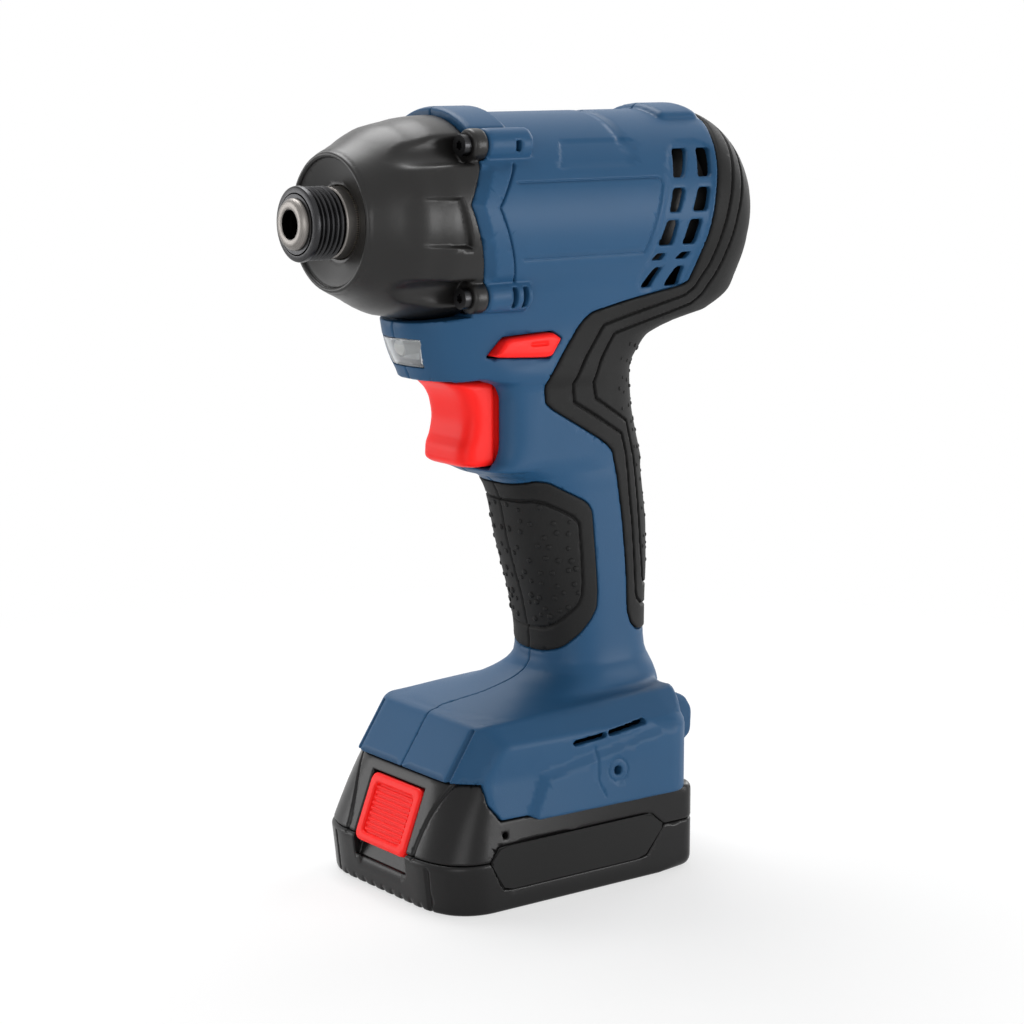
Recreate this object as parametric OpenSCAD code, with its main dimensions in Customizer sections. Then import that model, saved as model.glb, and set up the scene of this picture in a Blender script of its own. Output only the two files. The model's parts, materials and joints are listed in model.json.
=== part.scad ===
// Cordless impact driver with a slide-on battery, as an assembly of separate pieces.
// The nose points along -X, +Z is up, and the battery's base stands on z = 0.

/* [Housing] */
// Height of the drive axis above the base
axis_z = 204; // [194:1:224]
// Wall of the housing
wall = 2.6; // [2.2:0.1:3]
// Thickness of the rubber grips
grip_t = 1.4; // [1:0.1:1.8]
// Rounding of the barrel's rear end
rear_round = 20; // [14:1:24]
// Space behind the rear bearing, to the outside of the rear end
tail = 4.5; // [4:0.5:9]
// Width of the handle
handle_w = 36; // [33:0.5:40]
// Depth of the handle at its middle, front to back
handle_depth = 50.4; // [47:0.2:56]
// Front of the chin that holds the work light
chin_front = -40.4; // [-44:0.2:-38]

/* [Foot] */
// Width of the foot
foot_w = 74; // [72:1:82]
// Height of the foot above its lower edge
foot_h = 27.5; // [25:0.5:31]
// Rear end of the foot
foot_rear = 46.5; // [45:0.5:50]
// Reach of the belt-hook lug behind the foot
lug_reach = 14; // [10:0.5:18]
// Radius of the belt-hook screw holes
hook_hole_r = 1.4; // [1.2:0.1:1.8]

/* [Battery] */
// Height of the battery's side walls
battery_h = 27.2; // [26:0.2:30]
// Foremost point of the battery
battery_front = -47.2; // [-52:0.2:-46]
// Rear end of the battery
battery_rear = 49; // [48:0.5:54]
// Height of the parting line between the battery's shells
parting_z = 15.8; // [13:0.2:18]
// Wall of the battery's shells
battery_wall = 2.2; // [1.8:0.1:2.6]
// Diameter of a cell
cell_d = 18.4; // [17:0.1:18.8]
// Length of a cell
cell_len = 65; // [60:0.5:66]
// Room on each side of the cells, to the outside of the battery
cell_room = 4.5; // [4.2:0.1:7]
// Number of cells
cell_count = 4; // [2:1:4]
// Width of the release button
button_w = 25; // [20:0.5:28]
// Travel of the release button
button_travel = 4; // [3:0.5:5]

/* [Bit holder] */
// Front end of the anvil
nose_x = -75; // [-80:1:-74]
// Radius of the anvil's shank
anvil_r = 6.5; // [6.2:0.1:6.9]
// Width across the flats of the hex socket
hex_af = 6.4; // [6.3:0.05:6.6]
// Depth of the hex socket
socket_depth = 25; // [22:1:27]
// Radius of the round lead-in of the socket
lead_r = 4.2; // [4:0.1:4.6]
// Length of the round lead-in
lead_len = 2.5; // [2:0.1:3]
// Largest radius of the bit sleeve
sleeve_r = 10.9; // [10.5:0.1:11.6]
// Travel of the bit sleeve
sleeve_travel = 3.5; // [3:0.1:3.8]
// Diameter of a lock ball
lock_ball_d = 3.6; // [3.2:0.1:3.8]

/* [Impact mechanism] */
// Radius of the hammer
hammer_r = 22.5; // [21.5:0.1:23]
// Length of the hammer's body
hammer_len = 15; // [14:0.5:18]
// Travel of the hammer
hammer_travel = 8; // [7:0.5:9]
// Length of the anvil's jaws
jaw_len = 7.5; // [6.5:0.5:8]
// Radius of the spindle
spindle_r = 7; // [6.5:0.1:7.4]
// Diameter of a cam ball
cam_ball_d = 5; // [4.6:0.1:5.4]
// Length of the nose bush
bush_len = 10; // [9:0.5:12]

/* [Gearing] */
// Module of the gear teeth
tooth_module = 0.9; // [0.85:0.01:1]
// Teeth on the motor's pinion
sun_teeth = 12; // [12:6:12]
// Teeth on each planet gear
planet_teeth = 18; // [18:6:18]
// Width of the gears
gear_w = 8; // [7:0.5:10]
// Radius of a planet pin
pin_r = 2; // [1.8:0.1:2.4]
// Rim of the ring gear outside its pitch circle
ring_rim = 3.6; // [3:0.1:4.2]
// Wall of the hammer case round the ring gear
case_wall = 2.6; // [2.2:0.1:3.2]

/* [Motor] */
// Outer radius of the motor can
motor_r = 25; // [23.5:0.1:26]
// Length of the motor can
can_len = 35; // [32:0.5:40]
// Wall of the motor can
can_wall = 1.8; // [1.4:0.1:2]
// Radius of the rotor's shaft
shaft_r = 2.5; // [2.2:0.1:2.8]
// Width of the fan
fan_w = 7; // [6:0.5:8]
// Radius of the commutator
commutator_r = 9; // [8.4:0.1:9.6]

/* [Controls] */
// Width of the trigger
trigger_w = 23.6; // [20:0.2:26]
// Travel of the trigger
trigger_travel = 7; // [5:0.5:8]
// Length of the direction selector
selector_len = 22; // [20:0.5:24]
// Travel of the direction selector to each side
selector_travel = 3.5; // [2.5:0.5:4]

/* [Fits] */
// Running clearance of a shaft in its bore
run = 0.05; // [0.02:0.01:0.08]
// Clearance of a fixed piece in its seat
seat = 0.03; // [0.02:0.01:0.06]
// Clearance between pieces that slide past each other
gap = 0.3; // [0.25:0.05:0.4]

/* [Hidden] */
$fn = 64;
eps = 0.01;
far = 300;
ring_steps = 24;

// Foot and battery levels
skirt_z = battery_h + gap;
foot_top = skirt_z + foot_h;
slot_top = skirt_z + 11.1;
foot_hw = foot_w / 2;
battery_hw = cell_len / 2 + cell_room;
foot_floor = 2.6;
foot_nose = -38.7;
foot_top_front = -27.8;
skirt_t = 7.2;
foot_taper = 4.6;

// Handle levels: the grip runs from the foot to the underside of the trigger
grip_top = axis_z - 77;
handle_len = grip_top - foot_top;
function along_handle(u) = foot_top + u * handle_len;

// Gear sizes, from the pinion out to the barrel
ring_teeth = sun_teeth + 2 * planet_teeth;
planet_orbit = tooth_module * (sun_teeth + planet_teeth) / 2;
ring_pitch_r = tooth_module * ring_teeth / 2;
ring_r = ring_pitch_r + ring_rim;
skirt_r = ring_r + case_wall;
barrel_in = skirt_r + 0.1 + seat;
barrel_r = barrel_in + wall;
sun_tip_r = tooth_module * (sun_teeth / 2 + 1);
carrier_r = ring_pitch_r - 1.2 * tooth_module - 1;
planet_count = 3;

// Places along the drive axis, from the nose to the rear end
anvil_out = 13.5;
case_front = nose_x + anvil_out;
pocket_depth = 3.9;
pocket_r = 12;
bush_x = case_front + pocket_depth;
bush_flange_t = 1.6;
bush_flange_r = 10.4;
bush_r = anvil_r + 2.5;
jaw_x = bush_x + bush_len + 0.4;
jaw_end = jaw_x + jaw_len;
jaw_r = hammer_r - 4.5;
jaw_w = 10;
hammer_x = jaw_end + 0.5;
hammer_end = hammer_x + hammer_len;
flange_x = hammer_end + hammer_travel + 1;
flange_t = 3.5;
planet_x = flange_x + flange_t + gap;
planet_end = planet_x + gear_w;
rear_flange_x = planet_end + gap;
hub_x = rear_flange_x + flange_t;
hub_r = 10;
hub_len = 7;
ring_x = planet_x - gap;
ring_end = planet_end + gap + 0.6;
bearing_w = 6;
bearing_r = 15;
plate_x = hub_x + 0.5;
plate_end = hub_x + hub_len + 2;
motor_bearing_w = 5;
front_bearing_r = 7;
front_bearing_end = plate_end + motor_bearing_w + 0.2;
fan_x = front_bearing_end + 1.6;
fan_r = motor_r - 3;
can_x = fan_x + fan_w + 2;
can_end = can_x + can_len;
core_inset = 6;
core_x = can_x + core_inset;
core_end = can_end - core_inset;
magnet_t = 3;
magnet_r = motor_r - can_wall - seat;
core_r = magnet_r - magnet_t - 0.6;
commutator_x = can_end + 1.5;
commutator_len = 8.5;
rear_bearing_x = commutator_x + commutator_len + 3.5;
rear_bearing_r = 8;
rear_bearing_end = rear_bearing_x + motor_bearing_w;
barrel_rear = rear_bearing_end + tail;

// Joint between the hammer case and the housing
joint_x = hammer_end - 2.8;
boss_r = 4.8;
boss_orbit = barrel_r + 0.5;
boss_x = joint_x - 4.5;
boss_joint = joint_x + 3;
boss_end = boss_joint + 16;
case_screw_r = 1.9;
case_head_r = 2.8;
case_head_h = 2.4;
case_screw_len = 17;

// Hidden inner sizes of the bit holder
washer_x = nose_x + 1.6;
washer_t = 0.8;
washer_r = 8.6;
sleeve_front = nose_x + 1.8;
sleeve_end = bush_x - bush_flange_t - 0.4;
chamber_r = washer_r + gap;
spring_solid = 2.9;
shoulder_x = washer_x + washer_t + sleeve_travel + spring_solid;
lock_ball_r = lock_ball_d / 2;
lock_ball_x = shoulder_x + lock_ball_r + 0.2;
lock_ball_in = 0.7;
lock_ball_orbit = hex_af / 2 - lock_ball_in + lock_ball_r;
sleeve_bore = anvil_r + 0.25;
sleeve_mouth = sleeve_bore + 0.95;
cam_ball_r = cam_ball_d / 2;
cam_ball_x = hammer_x + 4;
cam_ball_orbit = spindle_r + 0.4;
spring_seat = hammer_x + 7;
hammer_spring_r = 13;
hammer_wire_r = 1.2;

// Screws that close the housing: places in the side view and how far in the heads sit
screw_r = 1.5;
screw_head_r = 3;
screw_head_h = 2.2;
screw_boss_r = 3.6;
screw_seat_y = 9;
screw_tip_y = -9;
screw_places = [
    [barrel_rear - 13, axis_z + 15],
    [barrel_rear - 13, axis_z - 15],
    [30, axis_z - 39],
    [-27, axis_z - 39],
    [12, along_handle(0.93)],
    [33, along_handle(0.36)],
    [-22, foot_top - 7],
    [40, foot_top - 8]
];

// Switch, trigger and selector
switch_x = -4;
switch_len = 34;
switch_w = 20;
switch_bottom = axis_z - 70;
switch_top = axis_z - 43.5;
stem_r = 3;
stem_z = axis_z - 58;
stem_end = switch_x + 10;
trigger_front = -26.5;
trigger_back = switch_x - trigger_travel - 0.5;
trigger_top = axis_z - 47.4;
trigger_bottom = axis_z - 73.4;
trigger_hw = trigger_w / 2;
selector_x = -7;
selector_z = axis_z - 37.7;
selector_h = 7;
selector_sink = 1.5;
selector_proud = selector_travel - selector_sink;
lens_bottom = axis_z - 41.6;
lens_top = axis_z - 33.2;
lens_back = chin_front + 4.6;
lens_t = 2;

// Battery rails, head and contacts
neck_hw = foot_hw - skirt_t - 3.6;
head_hw = foot_hw - skirt_t - gap;
rail_top = skirt_z + 3.7;
head_top = slot_top - gap;
head_end = foot_rear - 5.5;
shoulder_gap = gap;
blade_t = 1;
blade_len = 18;
blade_x = 12;
blade_places = [-13.5, -4.5, 4.5, 13.5];
clip_t = 0.7;
contact_slot = blade_t + 2 * gap + 2 * clip_t;
cell_r = cell_d / 2;
cell_pitch = cell_d + 0.3;
cell_z = battery_wall + 0.3 + cell_r;
cell_x = (battery_front + battery_rear) / 2 + 2.3 - cell_pitch * (cell_count - 1) / 2;
battery_slope = 21;
button_low = 14.5;
button_h = 21.4;
button_t = 4;
button_hw = button_w / 2;
spring_pocket_hw = 3;
battery_screw_y = battery_hw - 8.5;
battery_screw_places = [
    for (x = [battery_front + 9.7, battery_rear - 4.7], s = [-1, 1]) [x, s * battery_screw_y]
];

// Colours
blue = [0.16, 0.31, 0.47];
dark = [0.12, 0.12, 0.13];
charcoal = [0.2, 0.2, 0.21];
red = [0.72, 0.08, 0.1];
steel = [0.7, 0.71, 0.73];
copper = [0.75, 0.42, 0.2];
brass = [0.78, 0.65, 0.35];

// Shapes placed on the drive axis: local Z runs along +X, and local Y stays Y
module on_axis(x) {
    translate([x, 0, axis_z]) rotate([0, 90, 0]) children();
}

module rod(x0, x1, r) {
    on_axis(x0) cylinder(r = r, h = x1 - x0);
}

module tube(x0, x1, outer, inner) {
    difference() {
        rod(x0, x1, outer);
        rod(x0 - 1, x1 + 1, inner);
    }
}

// A turned solid from points [x, radius]
module turned(points) {
    on_axis(0) rotate_extrude() polygon([for (p = points) [p[1], p[0]]]);
}

// A side outline [x, z] given a thickness across Y
module side_plate(points, y0, y1) {
    translate([0, y1, 0]) rotate([90, 0, 0]) linear_extrude(y1 - y0) polygon(points);
}

module cross_bar(x, z, r, y0, y1) {
    translate([x, y1, z]) rotate([90, 0, 0]) cylinder(r = r, h = y1 - y0);
}

module block(low, high) {
    translate(low) cube(high - low);
}

module left_half() {
    intersection() {
        children();
        block([-far, -far, -far], [far, 0, far]);
    }
}

module right_half() {
    intersection() {
        children();
        block([-far, 0, -far], [far, far, far]);
    }
}

// A skin through rings of points that all have the same count
module loft(rings) {
    n = len(rings[0]);
    m = len(rings);
    sides = [
        for (i = [0 : m - 2], j = [0 : n - 1])
            let (k = (j + 1) % n, a = i * n, b = (i + 1) * n)
                each [[a + j, b + j, b + k], [a + j, b + k, a + k]]
    ];
    bottom = [for (j = [0 : n - 1]) j];
    top = [for (j = [n - 1 : -1 : 0]) (m - 1) * n + j];
    polyhedron(points = [for (r = rings) each r], faces = concat(sides, [bottom, top]));
}

// An oval section: a higher squareness gives fuller corners
function oval(z, front, back, half_w, squareness) = [
    for (i = [0 : ring_steps - 1])
        let (a = 360 * (i + 0.5) / ring_steps, e = 2 / squareness)
            [
                (front + back) / 2 + (back - front) / 2 * sign(cos(a)) * pow(abs(cos(a)), e),
                half_w * sign(sin(a)) * pow(abs(sin(a)), e),
                z
            ]
];

// A section with a flat front, cut front corners and round rear corners
function box_ring(z, front, front_hw, corner, corner_hw, half_w, rear, r) =
    let (
        side = concat(
            [[front, front_hw], [corner, corner_hw]],
            [for (a = [90 : -30 : 0]) [rear - r + r * cos(a), half_w - r + r * sin(a)]]
        ),
        n = len(side)
    )
    concat(
        [for (i = [n - 1 : -1 : 0]) [side[i][0], side[i][1], z]],
        [for (i = [0 : n - 1]) [side[i][0], -side[i][1], z]]
    );

// A wire coil round the drive axis of a local frame, from z = 0 to z = length
module coil(length, mean_r, wire_r, turns) {
    sides = 6;
    per_turn = 10;
    steps = round(turns * per_turn);
    loft([
        for (i = [0 : steps])
            let (a = 360 * i / per_turn, z = wire_r + (length - 2 * wire_r) * i / steps)
                [
                    for (k = [0 : sides - 1])
                        let (b = -360 * k / sides, d = mean_r + wire_r * cos(b))
                            [d * cos(a), d * sin(a), z + wire_r * sin(b)]
                ]
    ]);
}

// Involute gear outline: slack is the tooth's thinning in degrees on each flank
function involute(a) = tan(a) * 180 / PI - a;
function gear_points(teeth, module_size, tip, root, slack) =
    let (
        pitch_r = module_size * teeth / 2,
        base_r = pitch_r * cos(20),
        start_r = max(base_r, root),
        flank = [for (k = [0 : 3]) start_r + (tip - start_r) * k / 3],
        half = function (r) 90 / teeth + involute(20) - involute(acos(min(1, base_r / r))) - slack
    )
    [
        for (t = [0 : teeth - 1])
            let (mid = 360 * t / teeth)
                each concat(
                    [[root, mid - half(start_r)]],
                    root < start_r ? [for (r = flank) [r, mid - half(r)]] : [for (k = [1 : 3]) [flank[k], mid - half(flank[k])]],
                    [for (k = [3 : -1 : 1]) [flank[k], mid + half(flank[k])]],
                    root < start_r ? [[start_r, mid + half(start_r)]] : [],
                    [[root, mid + half(start_r)]]
                )
    ];
module gear_plate(teeth, tip, root, slack, turn, h) {
    pts = gear_points(teeth, tooth_module, tip, root, slack);
    rotate(turn) linear_extrude(h) polygon([for (p = pts) [p[0] * cos(p[1]), p[0] * sin(p[1])]]);
}

// Main outer forms: d is how far the form is drawn in from the outside

// Turned barrel with a rounded rear end
module barrel_form(d) {
    start = joint_x - 10;
    centre_x = barrel_rear - rear_round;
    centre_r = barrel_r - rear_round;
    round_end = [
        for (a = [90 : -15 : 0]) [centre_x + (rear_round - d) * cos(a), centre_r + (rear_round - d) * sin(a)]
    ];
    turned(concat([[start, 0], [start, barrel_r - d]], round_end, [[barrel_rear - d, 0]]));
}

// Handle, chin and the web under the barrel, as one run of oval sections
flare = [
    [-6, foot_top_front + 2, -2, 9.5, 4],
    [0, foot_top_front + 1.3, -1, 10, 4],
    [2.5, -14, 1.5, 6.5, 3],
    [5.5, -1, 2.2, 4, 2.8],
    [8, 6, 2.3, 2.2, 2.6],
    [11, 9, 2.3, 0.8, 2.5]
];
grip = [
    [0.22, 29.2, -10.4, 0.2],
    [0.4, 29.2, -7.2, 0],
    [0.55, 28, -3, 0],
    [0.685, 26.6, 0, 0],
    [0.89, 23.9, 1.8, 0.2],
    [0.96, 21.7, 4.6, 0.4]
];
neck = [
    [77, -13, 50, 0.4],
    [74, -16, 49.4, 0.4],
    [70, -13, 48.6, 0.5],
    [59, -12, 46.4, 1],
    [48, -13, 46.6, 1.4],
    [46, chin_front + 2.4, 47.3, 1.5],
    [41, chin_front + 0.8, 50.5, 1.8],
    [38, chin_front + 0.2, barrel_rear - 28, 2],
    [36, chin_front, barrel_rear - 17, 2.2],
    [34, chin_front, barrel_rear - 9, 2.3],
    [31, chin_front, barrel_rear - 5, 2.5],
    [24, chin_front, barrel_rear - 0.5, 4.5],
    [14, chin_front + 1, barrel_rear - 1.5, 7]
];
module handle_form(d) {
    hw = handle_w / 2 - d;
    loft(concat(
        [for (s = flare) oval(foot_top + s[0] - d, s[1] + d, foot_rear + s[2] - d, hw + s[3], s[4])],
        [
            for (s = grip)
                let (depth = handle_depth + s[2])
                    oval(along_handle(s[0]), s[1] - depth / 2 + d, s[1] + depth / 2 - d, hw + s[3], 2.5)
        ],
        [for (s = neck) oval(axis_z - s[0] + d, s[1] + d, s[2] - d, hw + s[3], 2.6)]
    ));
}

// Foot: straight skirts, a sloping nose and a narrower top
function foot_front_at(z) = foot_top_front + (foot_top - z) * (foot_nose - foot_top_front) / (foot_top - slot_top);
module foot_form(d, levels) {
    nose_d = 1.2 * d;
    mid_z = foot_top - 5.5 - d / 2;
    mid_front = foot_front_at(mid_z) + nose_d;
    loft(concat(
        [
            for (z = levels)
                let (front = foot_front_at(max(z, slot_top)) + nose_d)
                    box_ring(z, front, 24 - d / 2, front + 7.9, foot_hw - foot_taper - d, foot_hw - d, foot_rear - d, 8 - d)
        ],
        [
            box_ring(mid_z, mid_front, 25.5 - d / 2, mid_front + 9, foot_hw - foot_taper - 1.6 - d,
                foot_hw - 0.6 - d, foot_rear - d, 8 - d),
            box_ring(foot_top - d, foot_top_front + nose_d, 26 - d, foot_top_front + 6 + nose_d,
                foot_hw - 8 - d, foot_hw - 6.5 - d, foot_rear - 1.5 - d, 8 - d)
        ]
    ));
}

// Battery: the base is drawn in, and the front leans back above its foremost line
battery_lean = tan(battery_slope);
function battery_front_at(z) = battery_front + (z - button_low) * battery_lean;
module battery_form(d, top) {
    // height, front and cut corner, the corner's and the side's inset, and the rear's inset
    sections = [
        [d, 5.2, 22, 4.8, 4, 4, 3],
        [4 + d / 2, 2.2, 23, 6.5, 0.5, 0.5, 0.5],
        [button_low, 0, 24, 8, 0, 0, 0],
        [top, battery_front_at(top) - battery_front, 24, 7, top > battery_h ? foot_taper : 0, 0, 0]
    ];
    loft([
        for (q = sections)
            let (front = battery_front + q[1] + d)
                box_ring(q[0], front, q[2] - d, front + q[3], battery_hw - q[4] - d, battery_hw - q[5] - d,
                    battery_rear - q[6] - d, 6 - d)
    ]);
}

// Outline of the hammer case, drawn out by d
function case_profile(d) = [
    [case_front - d, 0],
    [case_front - d, barrel_r - 10 + d],
    [case_front + 5.8, barrel_r - 7.3 + d],
    [case_front + 10.5, barrel_r - 4.6 + d],
    [case_front + 14.5, barrel_r - 3 + d],
    [case_front + 19.2, barrel_r - 2.2 + d],
    [case_front + 25.9, barrel_r - 0.9 + d],
    [joint_x + 6, barrel_r - 0.3 + d],
    [joint_x + 6, 0]
];

// Side outline of everything in front of the zigzag joint, moved back by d
function joint_outline(d) = [
    [-far, axis_z + far],
    [joint_x + d, axis_z + far],
    [joint_x + d, axis_z + 16],
    [joint_x - 6.2 + d, axis_z + 5.5],
    [joint_x + 1.5 + d, axis_z - 17],
    [joint_x + 1.5 + d, axis_z - far],
    [-far, axis_z - far]
];

// Side outlines of the rubber grips
rear_grip_outline = [
    [barrel_rear - 15.5, axis_z + 27.7],
    [barrel_rear - 21.3, axis_z + 13.4],
    [barrel_rear - 25.9, axis_z - 3.7],
    [barrel_rear - 28.6, axis_z - 21.1],
    [barrel_rear - 30.7, axis_z - 22.5],
    [33, axis_z - 25.7],
    [15.4, axis_z - 29.3],
    [3.1, axis_z - 48.6],
    [3.9, axis_z - 55.4],
    [28.8, axis_z - 71.4],
    [30.9, along_handle(0.945)],
    [33.3, along_handle(0.753)],
    [35, along_handle(0.534)],
    [35.5, along_handle(0.347)],
    [40.8, along_handle(0.249)],
    [far / 2, along_handle(0.2)],
    [far / 2, axis_z + far / 2],
    [barrel_rear - 13, axis_z + far / 2]
];
front_grip_outline = [
    [-far / 4, along_handle(0.985)],
    [-8, along_handle(0.985)],
    [2.5, along_handle(0.951)],
    [20.3, along_handle(0.841)],
    [22.1, along_handle(0.805)],
    [23.4, along_handle(0.607)],
    [24.3, along_handle(0.447)],
    [23.8, along_handle(0.381)],
    [20, along_handle(0.315)],
    [12.2, along_handle(0.244)],
    [3.9, along_handle(0.216)],
    [-far / 4, along_handle(0.205)]
];

// Case screws: four places round the barrel
module at_case_screws() {
    for (sy = [-1, 1], sz = [-1, 1])
        translate([0, sy * boss_orbit * cos(45), sz * boss_orbit * sin(45)]) children();
}

// Housing

module outer_form() {
    intersection() {
        union() {
            barrel_form(0);
            top_pads();
            at_case_screws() rod(boss_joint, boss_end, boss_r);
        }
        side_plate([for (p = joint_outline(0)) p[0] == -far ? [far, p[1]] : p], -far, far);
    }
    handle_form(0);
    foot_form(0, [skirt_z, slot_top]);
    foot_lug();
}

// Raised collar and block along the top of the barrel
module top_pads() {
    intersection() {
        rod(joint_x, joint_x + 15, barrel_r + 1.9);
        block([-far, -16, axis_z], [far, 16, far]);
    }
    intersection() {
        rod(barrel_rear - 33, barrel_rear - 17, barrel_r + 1.4);
        block([-far, -14, axis_z], [far, 14, far]);
    }
}

lug_hw = 20;
module foot_lug() {
    low = skirt_z + 6;
    tip = foot_rear + lug_reach;
    side_plate([
        [foot_rear - 6, low],
        [tip - 5, low],
        [tip, low + 4],
        [tip, low + 11],
        [tip - 6, low + 15],
        [foot_rear - 6, low + 17]
    ], -lug_hw, lug_hw);
}

module grip_room() {
    difference() {
        union() {
            side_plate(rear_grip_outline, -far, far);
            side_plate(front_grip_outline, -far, far);
        }
        barrel_form(grip_t);
        handle_form(grip_t);
    }
}

module case_room() {
    intersection() {
        turned(case_profile(0.2));
        side_plate(joint_outline(0.2), -far, far);
    }
    at_case_screws() rod(boss_x - 1, boss_joint, boss_r + 0.2);
}

module inner_form() {
    barrel_form(wall);
    handle_form(wall);
    foot_form(wall, [slot_top + foot_floor]);
}

// Rails' slot in the foot, open to the front, with the skirts' slanted front edges
module battery_slot() {
    half = foot_hw - skirt_t;
    difference() {
        block([-far, -half, skirt_z - 1], [head_end + gap, half, slot_top]);
        for (s = [-1, 1])
            translate([0, s * (half + neck_hw + gap) / 2, 0])
                block([-26, -(half - neck_hw - gap) / 2 - eps, skirt_z - 2],
                    [far, (half - neck_hw - gap) / 2 + eps, rail_top]);
    }
    side_plate([
        [-far, skirt_z - 1],
        [-28.5, skirt_z - 1],
        [-28.5, skirt_z + 0.3],
        [-32.7, skirt_z + 4.8],
        [-33.6, slot_top],
        [-far, slot_top]
    ], -far, far);
}

// Air vents: two slanted columns on each side
vent_rows = [14.8, 4, -6, -13, -19.5];
vent_heights = [8, 6.6, 6.6, 1.8, 5.6];
module vents() {
    for (side = [-1, 1], column = [0, 1], row = [0 : len(vent_rows) - 1])
        translate([barrel_rear - 40 + 9.3 * column + 0.27 * vent_rows[row], side * barrel_r, axis_z + vent_rows[row]])
            cube([4.6, barrel_r, vent_heights[row]], center = true);
}

module selector_outline(d) {
    len2 = selector_len / 2 + d;
    h2 = selector_h / 2 + d;
    polygon([
        [-len2 - 1.5, -h2 + 1.4],
        [-len2 + 3.5, h2 - 0.4],
        [len2 - 1, h2 + 0.4],
        [len2 + 2.4, h2 - 1.6],
        [len2 - 1.4, -h2]
    ]);
}
module selector_prism(d, y0, y1) {
    translate([selector_x, y1, selector_z]) rotate([90, 0, 0]) linear_extrude(y1 - y0) selector_outline(d);
}

module housing_cuts() {
    case_room();
    battery_slot();
    vents();
    // trigger and selector openings
    block([-far / 4, -trigger_hw - gap, trigger_bottom - gap], [switch_x, trigger_hw + gap, trigger_top + gap]);
    selector_prism(gap, -far / 2, far / 2);
    // work-light window
    block([-far / 4, -far / 4, lens_bottom], [lens_back, far / 4, lens_top]);
    // terminal block's opening in the foot's floor
    block([terminal_x + 2, -terminal_hw + 2, slot_top - 1], [terminal_x + terminal_len - 2, terminal_hw - 2, foot_top - 8]);
    // case screw holes
    at_case_screws() rod(boss_joint - 1, boss_x + case_screw_len + 1, case_screw_r + seat);
    // slim slots and belt-hook screw holes in the foot's sides
    for (s = [-1, 1]) {
        translate([6, s * foot_hw, foot_top - 7.6]) cube([10.8, 12, 1.5], center = true);
        translate([19.8, s * foot_hw, foot_top - 6.4]) cube([13, 12, 1.5], center = true);
        translate([hook_x, s * (foot_hw - hook_depth), hook_z]) rotate([-90 * s, 0, 0]) cylinder(r = hook_hole_r, h = far / 4);
    }
}
hook_x = 16.4;
hook_z = skirt_z + 8.9;
hook_depth = 5;
terminal_x = 2;
terminal_len = 32;
terminal_hw = 20;

// Ribs and bosses inside the housing
module housing_ribs() {
    for (x = [can_x + 4, can_end - 6])
        tube(x, x + 2, barrel_in + 0.5, motor_r + seat);
    difference() {
        rod(rear_bearing_x + 0.3, barrel_rear - wall + 0.6, rear_bearing_r + 2.6);
        rod(rear_bearing_x - 1, rear_bearing_end + 0.2, rear_bearing_r + seat);
        rod(rear_bearing_x - 1, rear_bearing_end + 1.6, shaft_r + 1);
    }
    for (x = [switch_x + 5, switch_x + switch_len - 7], s = [-1, 1])
        translate([x, s * (switch_w / 2 + seat + handle_w / 2 - 1.2) / 2, (switch_bottom + switch_top) / 2])
            cube([2, handle_w / 2 - 1.2 - switch_w / 2 - seat, switch_top - switch_bottom - 6], center = true);
}

module screw_bosses() {
    bury = wall - 0.6;
    intersection() {
        for (p = screw_places) cross_bar(p[0], p[1], screw_boss_r, -far, far);
        union() {
            barrel_form(bury);
            handle_form(bury);
            foot_form(bury, [slot_top]);
        }
    }
}
module screw_holes() {
    for (p = screw_places) {
        cross_bar(p[0], p[1], screw_r + seat, screw_tip_y - 0.5, 1);
        cross_bar(p[0], p[1], screw_r + 0.2, -eps, screw_seat_y + 1);
        cross_bar(p[0], p[1], screw_head_r + 0.2, screw_seat_y, far);
    }
}

module housing() {
    difference() {
        union() {
            difference() {
                outer_form();
                grip_room();
                inner_form();
            }
            housing_ribs();
            screw_bosses();
        }
        housing_cuts();
        screw_holes();
    }
}

module housing_left() {
    color(blue) left_half() housing();
}

module housing_right() {
    color(blue) right_half() housing();
}

module housing_screws() {
    color(steel) for (p = screw_places) {
        cross_bar(p[0], p[1], screw_r, screw_tip_y, screw_seat_y + eps);
        difference() {
            cross_bar(p[0], p[1], screw_head_r, screw_seat_y, screw_seat_y + screw_head_h);
            translate([p[0], screw_seat_y + screw_head_h, p[1]]) rotate([90, 0, 0])
                cylinder(r = 1.4, h = 1.4, center = true, $fn = 6);
        }
    }
}

// Rubber grips

module rear_grip() {
    difference() {
        intersection() {
            union() {
                barrel_form(0);
                handle_form(0);
            }
            side_plate(rear_grip_outline, -far, far);
        }
        barrel_form(grip_t);
        handle_form(grip_t);
        screw_holes();
    }
}

module front_grip() {
    difference() {
        intersection() {
            handle_form(0);
            side_plate(front_grip_outline, -far, far);
        }
        handle_form(grip_t);
        screw_holes();
    }
}

module rear_grip_left() {
    color(dark) left_half() rear_grip();
}

module rear_grip_right() {
    color(dark) right_half() rear_grip();
}

module front_grip_left() {
    color(dark) left_half() front_grip();
}

module front_grip_right() {
    color(dark) right_half() front_grip();
}

// Hammer case and its screws

module hammer_case() {
    color(dark) difference() {
        union() {
            intersection() {
                turned(case_profile(0));
                side_plate(joint_outline(0), -far, far);
            }
            rod(joint_x - 12, ring_end, skirt_r);
            at_case_screws() rod(boss_x, boss_joint, boss_r);
        }
        rod(case_front - 1, bush_x, pocket_r);
        rod(bush_x - 1, jaw_x, bush_r + seat);
        rod(jaw_x - 0.4, ring_x, hammer_r + 1);
        rod(ring_x, ring_end + 1, ring_r + seat);
        at_case_screws() {
            rod(boss_x - 1, boss_joint + 1, case_screw_r + 0.2);
            rod(case_front - 1, boss_x, case_head_r + 0.7);
        }
    }
}

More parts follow.
